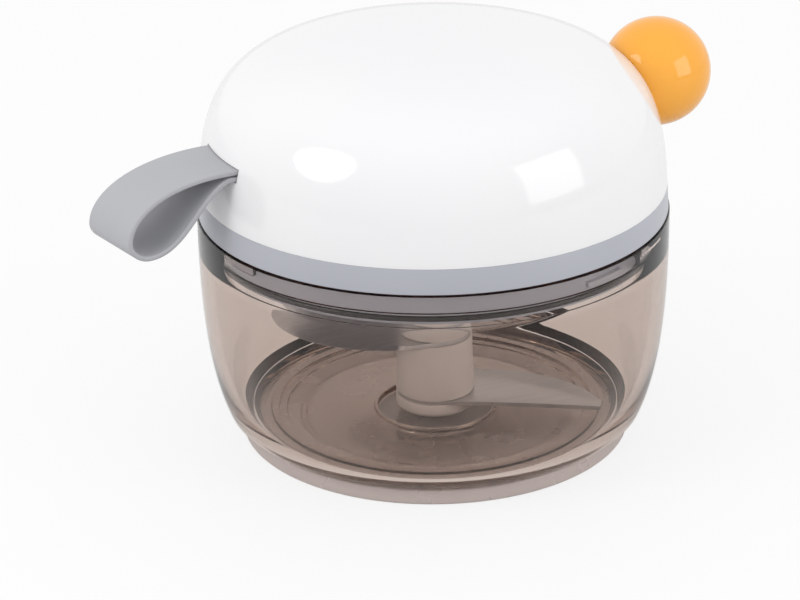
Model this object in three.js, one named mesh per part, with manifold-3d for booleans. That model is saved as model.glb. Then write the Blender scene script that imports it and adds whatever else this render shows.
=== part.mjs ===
// A hand-pulled food chopper. A clear bowl holds a stack of two blades on a steel pin, and a
// domed lid holds a cord spool with a return spring. Pulling the ball on the dome's side unwinds
// the cord, and the spool turns the blades through pawls, a ratchet wheel and a drive shaft.
//
// Millimetres, +Z up. The origin is the centre of the flat underside. +X is the way the pull ball
// leaves the dome, and the finger strap is on the -X side. The bowl's heights are measured from
// the table, and the lid's from its seat, the plane on which the grey ring meets the bowl.
import * as THREE from 'three';
import { mergeVertices } from 'three/addons/utils/BufferGeometryUtils.js';
import Module from 'manifold-3d';

const wasm = await Module();
wasm.setup();

// Clearances
const RUNNING_GAP = 0.3;
const SHAFT_GAP = 0.1;
const STACK_GAP = 0.05;
const CUT_OVERRUN = 1;
const WELD_DISTANCE = 0.0001;
const EDGE = 0.4;

// Smoothness, in steps round a circle or along a curve
const LARGE_STEPS = 40;
const MEDIUM_STEPS = 28;
const SMALL_STEPS = 16;
const SIDE_STEPS = 5;
const CROWN_STEPS = 9;
const CORNER_STEPS = 3;

// Bowl
const BOWL_RADIUS = 55.3;
const BOWL_HEIGHT = 55.4;
const SHOULDER_DROP = 9.4;
const HEEL_TAPER = 5.6;
const HEEL_HEIGHT = 5.7;
const HEEL_ROUND = 0.8;
const FOOT_WALL = 4.4;
const SIDE_LOW_SHARES = [0.6, 0.2];
const SIDE_HIGH_SHARES = [0.95, 0.5];
const NECK_INSET = 5.3;
const FLOOR_THICKNESS = 2.1;
const FLOOR_EDGE_INSET = 3;
const FLOOR_STEP = 0.3;
const WALL_FOOT_RISE = 1.6;
const RIB_INSET = 4.5;
const RIB_WIDTH = 2;
const RIB_HEIGHT = 0.7;
const INNER_FLOOR_INSET = 2.1;
const CORNER_SHARES = [0.25, 0.55];

// Bowl rim, where the lid's skirt goes in
const RIM_WALL = 1.7;
const SEAL_BORE_STEP = 0.8;
const SEAL_BORE_DEPTH = 4.4;
const LEDGE_DEPTH = 8.1;
const LEDGE_WIDTH = 0.4;

// Bayonet: lugs inside the bowl's rim and tabs on the lid's skirt
const BAYONET_COUNT = 3;
const LUG_HEIGHT = 1.6;
const LUG_DEPTH = 1.2;
const LUG_ANGLE = 12;
const TAB_HEIGHT = 1.1;
const TAB_ANGLE = 12;
const BAYONET_ANGLE = -166.7;
const LID_TURN_ANGLE = 20;

// Floor centre and pivot pin
const RECESS_RADIUS = 13.9;
const RECESS_DEPTH = 1.2;
const RECESS_BEAD_WIDTH = 0.8;
const RECESS_BEAD_HEIGHT = 0.5;
const PIN_BOSS_RADIUS = 4.2;
const PIN_BOSS_HEIGHT = 1.4;
const PIN_RADIUS = 2.5;
const PIN_SEAT_DEPTH = 1.7;

// Non-slip base
const PAD_WALL = 1.6;
const PAD_HEIGHT = 3.7;
const PAD_FLOOR = 1.5;
const PAD_GROOVE_DEPTH = 0.5;
const PAD_GROOVE_WIDTH = 1.6;
const PAD_GROOVE_INSET = 14.3;

// Blade stack
const STEM_TOP_RADIUS = 9;
const STEM_TAPER = 0.4;
const FOOT_CAP_HEIGHT = 3.2;
const FOOT_CAP_ROUND = 1.1;
const BLADE_THICKNESS = 1;
const BLADE_PITCH_SHARE = 0.399;
const STACK_HEAD_SPACE = 0.85;
const SPIGOT_RADIUS = 4.6;
const SPIGOT_LENGTH = 2.6;
const BLADE_ANGLE = -21.7;
const BLADE_END_SPACE = 5.5;
const BLADE_SWEEP = 10.4;
const BLADE_TIP_WIDTH = 3.6;
const BLADE_HUB_INSET = 0.2;
const BLADE_BACK_SHARES = [[0.345, 1.62], [0.9, 0.85]];
const BLADE_FRONT_SHARES = [0.59, 1.17];
const BLADE_STEPS = 10;

// Lid ring, plate and skirt
const LID_SEAT_GAP = 0.4;
const RING_INSET = 0.3;
const RING_HEIGHT = 5.9;
const RING_TAPER = 0.35;
const RING_WALL = 2.7;
const RING_FLOOR = 1.2;
const SKIRT_WALL = 1.9;
const SKIRT_DEPTH = 7.9;
const PLATE_TOP_DROP = 2.4;
const PLATE_THICKNESS = 2.6;
const SEAL_HEIGHT = 1.1;
const SEAL_LIP = 0.7;
const SEAL_GROOVE_DEPTH = 1.2;
const SEAL_SEAT_GAP = 0.2;

// Lid hub, bush and drive shaft
const HUB_RADIUS = 8.5;
const HUB_DROP = 11.3;
const HUB_RISE = 1.5;
const SHAFT_RADIUS = 3;
const BUSH_WALL = 1.3;
const BUSH_FLANGE_RADIUS = 6.6;
const BUSH_FLANGE_THICKNESS = 1;
const CLIP_GROOVE_DEPTH = 0.6;
const CLIP_THICKNESS = 0.8;
const CLIP_WIDTH = 1.9;
const CLIP_OPENING_ANGLE = 80;
const TANG_WIDTH = 9.6;
const TANG_THICKNESS = 3.2;
const TANG_END_SPACE = 0.5;
const SOCKET_SHARE = 0.5;
const SOCKET_FLOOR = 1.6;
const SOCKET_CORE_SHARE = 0.66;
const SOCKET_SPARE_ANGLE = 3;

// Dome cover
const DOME_HEAD_SPACE = 10.7;
const DOME_WALL = 2.2;
const DOME_PARTING_GAP = 0.2;
const CROWN_SIDE_SHARES = [0.977, 0.87];
const CROWN_TOP_SHARE = 0.77;
const DOME_SPIGOT_WALL = 1.6;
const DOME_SPIGOT_LENGTH = 4.2;
const SNAP_BEAD = 0.4;
const SNAP_WIDTH = 1.4;
const SNAP_DEPTH = 1.6;

// Pull ball and cord
const BALL_OUTSET = 3.1;
const BALL_RADIUS = 12.95;
const CUP_WALL = 2;
const CORD_RADIUS = 0.9;
const BALL_BORE_GAP = 0.3;
const BALL_POCKET_RADIUS = 4.2;
const BALL_POCKET_START = 1;
const PLUG_THICKNESS = 2.4;
const KNOT_RADIUS = 2.5;
const GUIDE_RADIUS = 3;
const GUIDE_FLANGE_RADIUS = 4.6;
const GUIDE_FLANGE_THICKNESS = 1.6;
const GUIDE_FLANGE_SPACE = 0.9;

// Spool, winding and return spring
const WINDING_RADIUS = 14.5;
const WINDING_TURNS = 4;
const WINDING_PITCH = 2.4;
const WINDING_STEPS_PER_TURN = 16;
const WINDING_SIDES = 6;
const LEAD_SIDES = 8;
const LEAD_STEP = 2.4;
const LEAD_BEND = 1.2;
const SPOOL_FLANGE_RISE = 4.1;
const SPOOL_FLANGE_THICKNESS = 1.6;
const SPOOL_SIDE_SPACE = 0.7;
const SPOOL_RATCHET_SPACE = 3.45;
const BARREL_GAP = 0.4;
const SPOOL_RECESS_WALL = 1.2;
const SPOOL_HUB_LENGTH = 5.4;
const ARBOR_RADIUS = 3;
const SPRING_THICKNESS = 0.5;
const SPRING_TURNS = 5;
const SPRING_STEPS_PER_TURN = 16;
const SPRING_TOP_SPACE = 1.1;

// Ratchet wheel and pawls
const RATCHET_RADIUS = 10;
const RATCHET_ROOT_RADIUS = 8;
const RATCHET_TEETH = 8;
const RATCHET_HEIGHT = 5;
const RATCHET_TOOTH_STEPS = 3;
const PAWL_PIVOT_RADIUS = 14.5;
const PAWL_PIN_RADIUS = 1.4;
const PAWL_BOSS_RADIUS = 2.7;
const PAWL_COLLAR_RADIUS = 2.3;
const PAWL_HEIGHT = 4.4;
const PAWL_TIP_ANGLE = 35;
const PAWL_TIP_WIDTH = 1.9;
const PAWL_TOOTH_ANGLE = 4.5;
const PAWL_COUNT = 2;
const PAWL_ARM_SHARES = [[0.45, 0.8], [-0.55, -0.7]];

// Bridge that carries the spool, its posts and its screws
const POST_SPACE = 6.9;
const POST_RADIUS = 3.6;
const POST_COUNT = 3;
const POST_ANGLE = 60;
const BRIDGE_THICKNESS = 2.2;
const BRIDGE_HUB_RADIUS = 9;
const BRIDGE_ARM_WIDTH = 7;
const SCREW_RADIUS = 1.3;
const SCREW_LENGTH = 9;
const SCREW_HEAD_RADIUS = 2.6;
const SCREW_HEAD_HEIGHT = 1.8;
const ARBOR_HEAD_RADIUS = 4.4;
const ARBOR_HEAD_HEIGHT = 1.5;

// Finger strap and its anchor bar. The strap hangs a little askew: its back edge reaches further.
const STRAP_ANGLE = 2.5;
const STRAP_WIDTH = 18.4;
const STRAP_THICKNESS = 1.25;
const STRAP_SLOT_DROP = 5.4;
const STRAP_PLY_GAP = 0.3;
const STRAP_SLOT_GAP = 0.2;
const STRAP_REACH = 23.9;
const STRAP_DROP = 16.7;
const STRAP_BACK_REACH = 2.9;
const STRAP_BACK_DROP = 0.6;
const STRAP_MOUTH_INSET = 0.65;
const STRAP_NECK_INSET = 5.65;
const ANCHOR_INSET = 8.25;
const ANCHOR_RADIUS = 1.5;
const ANCHOR_EAR_THICKNESS = 2;
const ANCHOR_EAR_RADIUS = 3;
const WRAP_ANGLE = 142;
const STRAP_CURVE_STEPS = 9;
const STRAP_TURN_STEPS = 8;
const STRAP_UPPER_SHARES = [0.68, 0.41];
const STRAP_FAR_SHARE = 0.77;
const STRAP_LOW_SHARE = 0.82;
const STRAP_TIP_SHARE = 0.5;
const STRAP_LOWER_SHARES = [0.45, 0.3, 0.245];

// Places that several pieces share: radii of the bowl and the lid
const HEEL_RADIUS = BOWL_RADIUS - HEEL_TAPER;
const NECK_RADIUS = HEEL_RADIUS - NECK_INSET;
const PAD_BORE_RADIUS = NECK_RADIUS + RUNNING_GAP;
const PAD_RADIUS = PAD_BORE_RADIUS + PAD_WALL;
const RIM_BORE_RADIUS = BOWL_RADIUS - RIM_WALL;
const SEAL_BORE_RADIUS = RIM_BORE_RADIUS - SEAL_BORE_STEP;
const SKIRT_RADIUS = SEAL_BORE_RADIUS - SEAL_BORE_STEP;
const SEAL_RADIUS = SEAL_BORE_RADIUS - RUNNING_GAP;
const RING_RADIUS = BOWL_RADIUS - RING_INSET;
const RING_TOP_RADIUS = RING_RADIUS - RING_TAPER;
const RING_BORE_RADIUS = RING_RADIUS - RING_WALL;
const STEM_FOOT_RADIUS = STEM_TOP_RADIUS + STEM_TAPER;
const BLADE_HUB_RADIUS = STEM_TOP_RADIUS - BLADE_HUB_INSET;
const BLADE_REACH = HEEL_RADIUS - FOOT_WALL - BLADE_END_SPACE;
const BUSH_RADIUS = SHAFT_RADIUS + SHAFT_GAP + BUSH_WALL;
const HUB_BORE_RADIUS = BUSH_RADIUS + SHAFT_GAP;
const BARREL_RADIUS = WINDING_RADIUS - CORD_RADIUS - BARREL_GAP;
const SPOOL_FLANGE_RADIUS = WINDING_RADIUS + CORD_RADIUS + SPOOL_FLANGE_RISE;
const SPOOL_RECESS_RADIUS = BARREL_RADIUS - SPOOL_RECESS_WALL;
const POST_CIRCLE_RADIUS = SPOOL_FLANGE_RADIUS + POST_SPACE + POST_RADIUS;
const CUP_RADIUS = BALL_RADIUS + RUNNING_GAP;

// Shared heights above the table
const SHOULDER_HEIGHT = BOWL_HEIGHT - SHOULDER_DROP;
const BOWL_UNDERSIDE = PAD_FLOOR + RUNNING_GAP;
const FLOOR_TOP = BOWL_UNDERSIDE + FLOOR_THICKNESS;
const PIN_BOSS_TOP = FLOOR_TOP - RECESS_DEPTH + PIN_BOSS_HEIGHT;
const LID_SEAT_HEIGHT = BOWL_HEIGHT + LID_SEAT_GAP;
const STACK_BOTTOM = PIN_BOSS_TOP + RUNNING_GAP;

// Shared heights above the lid's seat
const PLATE_UNDERSIDE = -PLATE_TOP_DROP - PLATE_THICKNESS;
const CLIP_GROOVE_TOP = -HUB_DROP - RUNNING_GAP;
const CLIP_BOTTOM = CLIP_GROOVE_TOP - STACK_GAP - CLIP_THICKNESS;
const CLIP_GROOVE_BOTTOM = CLIP_BOTTOM - STACK_GAP;
const TANG_TOP = CLIP_GROOVE_BOTTOM - EDGE;
const BUSH_TOP = HUB_RISE + STACK_GAP + BUSH_FLANGE_THICKNESS;
const RATCHET_BOTTOM = BUSH_TOP + RUNNING_GAP;
const RATCHET_TOP = RATCHET_BOTTOM + RATCHET_HEIGHT;
const SPOOL_BOTTOM = RATCHET_TOP + SPOOL_RATCHET_SPACE;
const SPOOL_FLOOR = SPOOL_BOTTOM + SPOOL_HUB_LENGTH;
const CORD_ZONE_BOTTOM = SPOOL_BOTTOM + SPOOL_FLANGE_THICKNESS;
const WINDING_BOTTOM = CORD_ZONE_BOTTOM + SPOOL_SIDE_SPACE + CORD_RADIUS;
const PULL_HEIGHT = WINDING_BOTTOM + WINDING_TURNS * WINDING_PITCH;
const CORD_ZONE_TOP = PULL_HEIGHT + CORD_RADIUS + SPOOL_SIDE_SPACE;
const SPOOL_TOP = CORD_ZONE_TOP + SPOOL_FLANGE_THICKNESS;
const BRIDGE_BOTTOM = SPOOL_TOP + RUNNING_GAP;
const BRIDGE_TOP = BRIDGE_BOTTOM + BRIDGE_THICKNESS;
const DOME_HEIGHT = BRIDGE_TOP + DOME_HEAD_SPACE;
const STRAP_SLOT_HEIGHT = PULL_HEIGHT - STRAP_SLOT_DROP;

// The blade stack fills the height between the floor and the shaft's clip
const STACK_LENGTH = LID_SEAT_HEIGHT + CLIP_BOTTOM - STACK_HEAD_SPACE - STACK_BOTTOM;
const BLADE_PITCH = BLADE_PITCH_SHARE * STACK_LENGTH;
const LOWER_BLADE_BOTTOM = FOOT_CAP_HEIGHT + STACK_GAP;
const UPPER_BLADE_BOTTOM = LOWER_BLADE_BOTTOM + BLADE_PITCH;
const UPPER_STEM_BOTTOM = UPPER_BLADE_BOTTOM + BLADE_THICKNESS + STACK_GAP;
const UPPER_STEM_LENGTH = STACK_LENGTH - UPPER_STEM_BOTTOM;
const SOCKET_DEPTH = SOCKET_SHARE * UPPER_STEM_LENGTH;
const SOCKET_BOTTOM = STACK_BOTTOM + STACK_LENGTH - SOCKET_DEPTH;
const PIN_TOP = SOCKET_BOTTOM - SOCKET_FLOOR - RUNNING_GAP;

// Shared places along the pull and on the strap's side, from the lid's axis
const BALL_CENTRE = RING_TOP_RADIUS + BALL_OUTSET;
const GUIDE_FRONT = BALL_CENTRE - CUP_RADIUS;
const GUIDE_LENGTH = CUP_WALL + GUIDE_FLANGE_SPACE + GUIDE_FLANGE_THICKNESS;
const KNOT_PLACE = BALL_CENTRE + BALL_POCKET_START + KNOT_RADIUS + RUNNING_GAP;
const STRAP_MOUTH = RING_TOP_RADIUS - STRAP_MOUTH_INSET;
const STRAP_NECK = RING_TOP_RADIUS - STRAP_NECK_INSET;
const ANCHOR_PLACE = RING_TOP_RADIUS - ANCHOR_INSET;
const STRAP_SLOT_SPREAD = (STRAP_PLY_GAP + STRAP_THICKNESS) / 2;

const turn = THREE.MathUtils.degToRad;

// Builds a closed solid from a geometry: welds it, drops collapsed triangles and faces it outward.
function closedSolid(geometry) {
  const bare = new THREE.BufferGeometry();
  bare.setAttribute('position', geometry.getAttribute('position').clone());
  if (geometry.index) bare.setIndex(geometry.index.clone());
  const welded = mergeVertices(bare, WELD_DISTANCE);
  const places = welded.getAttribute('position');
  const corner = (index) => new THREE.Vector3().fromBufferAttribute(places, index);
  const triangles = [];
  let volume = 0;
  for (let i = 0; i < welded.index.count; i += 3) {
    const [a, b, c] = [0, 1, 2].map((k) => welded.index.getX(i + k));
    if (a === b || b === c || c === a) continue;
    triangles.push([a, b, c]);
    volume += corner(a).dot(corner(b).cross(corner(c)));
  }
  const facing = volume > 0 ? triangles : triangles.map(([a, b, c]) => [a, c, b]);
  return new wasm.Manifold(new wasm.Mesh({
    numProp: 3,
    vertProperties: new Float32Array(places.array),
    triVerts: new Uint32Array(facing.flat()),
  }));
}

// Turns a profile of [radius, height] pairs about the Z axis.
function revolve(profile, steps) {
  const points = profile.map(([radius, height]) => new THREE.Vector2(radius, height));
  const startsOnAxis = profile[0][0] === 0;
  if (!startsOnAxis) points.push(points[0].clone());
  const geometry = new THREE.LatheGeometry(points, steps);
  geometry.rotateX(Math.PI / 2);
  return closedSolid(geometry);
}

// Leaves out points that lie on the next one, also where an outline closes on itself, and makes
// the outline run the way asked for.
function cleanOutline(points, clockwise) {
  const next = (i) => points[(i + 1) % points.length];
  const apart = points.filter((point, i) => point.distanceTo(next(i)) > WELD_DISTANCE);
  return THREE.ShapeUtils.isClockWise(apart) === clockwise ? apart : apart.reverse();
}

function cleanShape(shape, curveSteps) {
  const outlines = shape.extractPoints(curveSteps);
  const clean = new THREE.Shape(cleanOutline(outlines.shape, false));
  clean.holes = outlines.holes.map((hole) => new THREE.Path(cleanOutline(hole, true)));
  return clean;
}

// Extrudes a flat shape upward from a height.
function prism(shape, bottom, height, curveSteps = SMALL_STEPS) {
  const options = { depth: height, bevelEnabled: false };
  const geometry = new THREE.ExtrudeGeometry(cleanShape(shape, curveSteps), options);
  geometry.translate(0, 0, bottom);
  return closedSolid(geometry);
}

function cylinder(radius, bottom, height, steps = SMALL_STEPS) {
  return revolve([[0, bottom], [radius, bottom], [radius, bottom + height], [0, bottom + height]], steps);
}

function box(low, high) {
  const size = high.map((value, axis) => value - low[axis]);
  const middle = high.map((value, axis) => (value + low[axis]) / 2);
  const geometry = new THREE.BoxGeometry(...size);
  geometry.translate(...middle);
  return closedSolid(geometry);
}

function sphere(radius, centre, steps) {
  const geometry = new THREE.SphereGeometry(radius, steps, steps / 2);
  geometry.translate(...centre);
  return closedSolid(geometry);
}

// Runs a round section along a curve.
function tube(curve, radius, sides, steps) {
  const section = new THREE.Shape();
  section.absarc(0, 0, radius, 0, Math.PI * 2);
  const options = { steps, extrudePath: curve };
  return closedSolid(new THREE.ExtrudeGeometry(cleanShape(section, sides / 2), options));
}

// Points of a cubic curve from start to end, each point a [radius, height] pair.
function bend(start, startPull, endPull, end, steps) {
  const corners = [start, startPull, endPull, end].map(([r, z]) => new THREE.Vector2(r, z));
  return new THREE.CubicBezierCurve(...corners).getPoints(steps).map((point) => [point.x, point.y]);
}

// A block of a ring, between two radii and two angles in degrees.
function ringBlock(innerRadius, outerRadius, bottom, height, startAngle, endAngle) {
  const shape = new THREE.Shape();
  shape.absarc(0, 0, outerRadius, turn(startAngle), turn(endAngle), false);
  shape.absarc(0, 0, innerRadius, turn(endAngle), turn(startAngle), true);
  return prism(shape, bottom, height, CORNER_STEPS);
}

const turned = (solid, angle) => solid.rotate([0, 0, angle]);
const alongX = (solid) => solid.rotate([0, 90, 0]);
const alongY = (solid) => solid.rotate([90, 0, 0]);
const raised = (solid, height) => solid.translate([0, 0, height]);
const arcAngle = (halfWidth, radius) => THREE.MathUtils.radToDeg(Math.asin(halfWidth / radius));
const sphereDepth = (radius, away) => Math.sqrt(radius ** 2 - away ** 2);

// Materials
const plastic = (color, roughness) => new THREE.MeshStandardMaterial({ color, roughness, metalness: 0 });
const metal = (color, roughness) => new THREE.MeshStandardMaterial({ color, roughness, metalness: 1 });
const smokedClear = () => {
  const material = plastic(0xb3a69c, 0.08);
  material.transparent = true;
  material.opacity = 0.45;
  return material;
};
const glossWhite = () => plastic(0xf4f2f4, 0.12);
const greyShell = () => plastic(0xb4b8c4, 0.3);
const greyRubber = () => plastic(0xb4b6bf, 0.55);
const darkRubber = () => plastic(0x4a474b, 0.6);
const orangeGloss = () => plastic(0xf9a23f, 0.1);
const stemPlastic = () => plastic(0xc4b9b2, 0.35);
const innerPlastic = () => plastic(0xe6e4df, 0.5);
const gearPlastic = () => plastic(0xd6d2c8, 0.45);
const cordWhite = () => plastic(0xe9e6e0, 0.8);
const bladeSteel = () => metal(0xc3c3c6, 0.25);
const steel = () => metal(0xaeb0b4, 0.35);
const bronze = () => metal(0xb08d57, 0.4);

function piece(name, solid, material) {
  const { numProp, vertProperties, triVerts } = solid.getMesh();
  const places = new Float32Array((vertProperties.length / numProp) * 3);
  for (let i = 0; i < places.length; i += 1) {
    places[i] = vertProperties[Math.floor(i / 3) * numProp + (i % 3)];
  }
  const geometry = new THREE.BufferGeometry();
  geometry.setAttribute('position', new THREE.BufferAttribute(places, 3));
  geometry.setIndex(new THREE.BufferAttribute(new Uint32Array(triVerts), 1));
  geometry.computeVertexNormals();
  const mesh = new THREE.Mesh(geometry, material);
  mesh.name = name;
  return mesh;
}

// The bowl's side, inside or outside, from its foot up to the shoulder.
function bowlSide(footRadius, footHeight, topRadius) {
  const flare = topRadius - footRadius;
  const rise = SHOULDER_HEIGHT - footHeight;
  const pull = ([out, up]) => [footRadius + out * flare, footHeight + up * rise];
  const foot = [footRadius, footHeight];
  return bend(foot, pull(SIDE_LOW_SHARES), pull(SIDE_HIGH_SHARES), [topRadius, SHOULDER_HEIGHT], SIDE_STEPS);
}

function bayonetRing(innerRadius, outerRadius, bottom, height, width, startAngle) {
  const blocks = [];
  for (let i = 0; i < BAYONET_COUNT; i += 1) {
    const middle = startAngle + (i * 360) / BAYONET_COUNT;
    blocks.push(ringBlock(innerRadius, outerRadius, bottom, height, middle - width / 2, middle + width / 2));
  }
  return blocks;
}

function bowl() {
  const innerTopRadius = SEAL_BORE_RADIUS - LEDGE_WIDTH;
  const innerFootRadius = HEEL_RADIUS - FOOT_WALL;
  const innerFootHeight = HEEL_HEIGHT + HEEL_ROUND + WALL_FOOT_RISE;
  const floorEdge = NECK_RADIUS - FLOOR_EDGE_INSET;
  const [cornerOut, cornerUp] = CORNER_SHARES;
  const cornerWidth = innerFootRadius - floorEdge;
  const cornerRise = innerFootHeight - FLOOR_TOP;
  const ribOuterRadius = NECK_RADIUS - RIB_INSET;
  const ribInnerRadius = ribOuterRadius - RIB_WIDTH;
  const innerFloorRadius = ribInnerRadius - INNER_FLOOR_INSET;
  const innerFloorTop = FLOOR_TOP - FLOOR_STEP;
  const recessFloor = FLOOR_TOP - RECESS_DEPTH;
  const pinHoleRadius = PIN_RADIUS + SHAFT_GAP;
  const body = revolve([
    [0, BOWL_UNDERSIDE],
    [NECK_RADIUS, BOWL_UNDERSIDE],
    [NECK_RADIUS, HEEL_HEIGHT],
    [HEEL_RADIUS - HEEL_ROUND, HEEL_HEIGHT],
    ...bowlSide(HEEL_RADIUS, HEEL_HEIGHT + HEEL_ROUND, BOWL_RADIUS),
    [BOWL_RADIUS, BOWL_HEIGHT - EDGE],
    [BOWL_RADIUS - EDGE, BOWL_HEIGHT],
    [RIM_BORE_RADIUS + EDGE, BOWL_HEIGHT],
    [RIM_BORE_RADIUS, BOWL_HEIGHT - EDGE],
    [RIM_BORE_RADIUS, BOWL_HEIGHT - SEAL_BORE_DEPTH],
    [SEAL_BORE_RADIUS, BOWL_HEIGHT - SEAL_BORE_DEPTH - EDGE],
    [SEAL_BORE_RADIUS, BOWL_HEIGHT - LEDGE_DEPTH],
    [innerTopRadius, BOWL_HEIGHT - LEDGE_DEPTH],
    ...bowlSide(innerFootRadius, innerFootHeight, innerTopRadius).reverse(),
    ...bend(
      [innerFootRadius, innerFootHeight],
      [innerFootRadius - cornerOut * cornerWidth, innerFootHeight - cornerUp * cornerRise],
      [floorEdge + cornerOut * cornerWidth, FLOOR_TOP + cornerOut * cornerRise],
      [floorEdge, FLOOR_TOP],
      CORNER_STEPS,
    ).slice(1),
    [ribOuterRadius, FLOOR_TOP],
    [ribOuterRadius, FLOOR_TOP + RIB_HEIGHT],
    [ribInnerRadius, FLOOR_TOP + RIB_HEIGHT],
    [ribInnerRadius, FLOOR_TOP],
    [innerFloorRadius + FLOOR_STEP, FLOOR_TOP],
    [innerFloorRadius, innerFloorTop],
    [RECESS_RADIUS + RECESS_BEAD_WIDTH, innerFloorTop],
    [RECESS_RADIUS + RECESS_BEAD_WIDTH, innerFloorTop + RECESS_BEAD_HEIGHT],
    [RECESS_RADIUS, innerFloorTop + RECESS_BEAD_HEIGHT],
    [RECESS_RADIUS, recessFloor],
    [PIN_BOSS_RADIUS, recessFloor],
    [PIN_BOSS_RADIUS, PIN_BOSS_TOP],
    [pinHoleRadius, PIN_BOSS_TOP],
    [pinHoleRadius, PIN_BOSS_TOP - PIN_SEAT_DEPTH],
    [0, PIN_BOSS_TOP - PIN_SEAT_DEPTH],
  ], LARGE_STEPS);
  const lugs = bayonetRing(
    SKIRT_RADIUS + RUNNING_GAP,
    RIM_BORE_RADIUS + RIM_WALL / 2,
    BOWL_HEIGHT - LUG_DEPTH - LUG_HEIGHT,
    LUG_HEIGHT,
    LUG_ANGLE,
    BAYONET_ANGLE,
  );
  return lugs.reduce((solid, lug) => solid.add(lug), body);
}

function pivotPin() {
  const bottom = PIN_BOSS_TOP - PIN_SEAT_DEPTH + STACK_GAP;
  return revolve([
    [0, bottom],
    [PIN_RADIUS, bottom],
    [PIN_RADIUS, PIN_TOP - EDGE],
    [PIN_RADIUS - EDGE, PIN_TOP],
    [0, PIN_TOP],
  ], SMALL_STEPS);
}

function nonslipBase() {
  const grooveRadius = PAD_RADIUS - PAD_GROOVE_INSET;
  const grooveHalf = PAD_GROOVE_WIDTH / 2;
  const slant = PAD_GROOVE_DEPTH / 2;
  return revolve([
    [0, 0],
    [grooveRadius - grooveHalf, 0],
    [grooveRadius - grooveHalf + slant, PAD_GROOVE_DEPTH],
    [grooveRadius + grooveHalf - slant, PAD_GROOVE_DEPTH],
    [grooveRadius + grooveHalf, 0],
    [PAD_RADIUS - EDGE, 0],
    [PAD_RADIUS, EDGE],
    [PAD_RADIUS, PAD_HEIGHT - EDGE],
    [PAD_RADIUS - EDGE, PAD_HEIGHT],
    [PAD_BORE_RADIUS, PAD_HEIGHT],
    [PAD_BORE_RADIUS, PAD_FLOOR],
    [0, PAD_FLOOR],
  ], LARGE_STEPS);
}

// A round piece of the blade stem: a counterbore below takes the spigot of the piece under it,
// and a spigot above passes through the blade that lies on it.
function stemPiece({ footRadius, topRadius, footRound, length, boreRadius, hasCounterbore, hasSpigot }) {
  const counterboreRadius = SPIGOT_RADIUS + SHAFT_GAP;
  const counterboreDepth = SPIGOT_LENGTH + STACK_GAP;
  const below = hasCounterbore
    ? [[boreRadius, counterboreDepth], [counterboreRadius, counterboreDepth], [counterboreRadius, 0]]
    : [[boreRadius, 0]];
  const above = hasSpigot
    ? [
      [SPIGOT_RADIUS, length],
      [SPIGOT_RADIUS, length + BLADE_THICKNESS + 2 * STACK_GAP + SPIGOT_LENGTH],
      [boreRadius, length + BLADE_THICKNESS + 2 * STACK_GAP + SPIGOT_LENGTH],
    ]
    : [[boreRadius, length]];
  return revolve([
    ...below,
    [footRadius - footRound, 0],
    [footRadius, footRound],
    [topRadius, length],
    ...above,
  ], MEDIUM_STEPS);
}

const stemBore = PIN_RADIUS + SHAFT_GAP;

function footCap() {
  return stemPiece({
    footRadius: STEM_FOOT_RADIUS,
    topRadius: STEM_FOOT_RADIUS,
    footRound: FOOT_CAP_ROUND,
    length: FOOT_CAP_HEIGHT,
    boreRadius: stemBore,
    hasCounterbore: false,
    hasSpigot: true,
  });
}

function lowerStem() {
  return stemPiece({
    footRadius: STEM_FOOT_RADIUS,
    topRadius: STEM_TOP_RADIUS,
    footRound: 0,
    length: BLADE_PITCH - BLADE_THICKNESS - 2 * STACK_GAP,
    boreRadius: stemBore,
    hasCounterbore: true,
    hasSpigot: true,
  });
}

// The socket is wider than the drive tang by the angle that the lid turns as it locks.
function driveSocket() {
  const outerRadius = Math.hypot(TANG_WIDTH, TANG_THICKNESS) / 2 + RUNNING_GAP;
  const innerRadius = SOCKET_CORE_SHARE * outerRadius;
  const tangAngle = arcAngle(TANG_THICKNESS / 2, innerRadius);
  const freeAngle = tangAngle + LID_TURN_ANGLE / 2 + SOCKET_SPARE_ANGLE;
  const shape = new THREE.Shape();
  shape.absarc(0, 0, outerRadius, turn(-freeAngle), turn(freeAngle), false);
  shape.absarc(0, 0, innerRadius, turn(freeAngle), turn(180 - freeAngle), false);
  shape.absarc(0, 0, outerRadius, turn(180 - freeAngle), turn(180 + freeAngle), false);
  shape.absarc(0, 0, innerRadius, turn(180 + freeAngle), turn(360 - freeAngle), false);
  return turned(
    prism(shape, UPPER_STEM_LENGTH - SOCKET_DEPTH, SOCKET_DEPTH + CUT_OVERRUN, SMALL_STEPS / 2),
    LID_TURN_ANGLE / 2 - BLADE_ANGLE,
  );
}

function upperStem() {
  const boreTop = UPPER_STEM_LENGTH - SOCKET_DEPTH - SOCKET_FLOOR;
  const counterboreRadius = SPIGOT_RADIUS + SHAFT_GAP;
  const counterboreDepth = SPIGOT_LENGTH + STACK_GAP;
  const body = revolve([
    [0, boreTop],
    [stemBore, boreTop],
    [stemBore, counterboreDepth],
    [counterboreRadius, counterboreDepth],
    [counterboreRadius, 0],
    [STEM_TOP_RADIUS, 0],
    [STEM_TOP_RADIUS, UPPER_STEM_LENGTH - EDGE],
    [STEM_TOP_RADIUS - EDGE, UPPER_STEM_LENGTH],
    [0, UPPER_STEM_LENGTH],
  ], MEDIUM_STEPS);
  return body.subtract(driveSocket());
}

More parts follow.
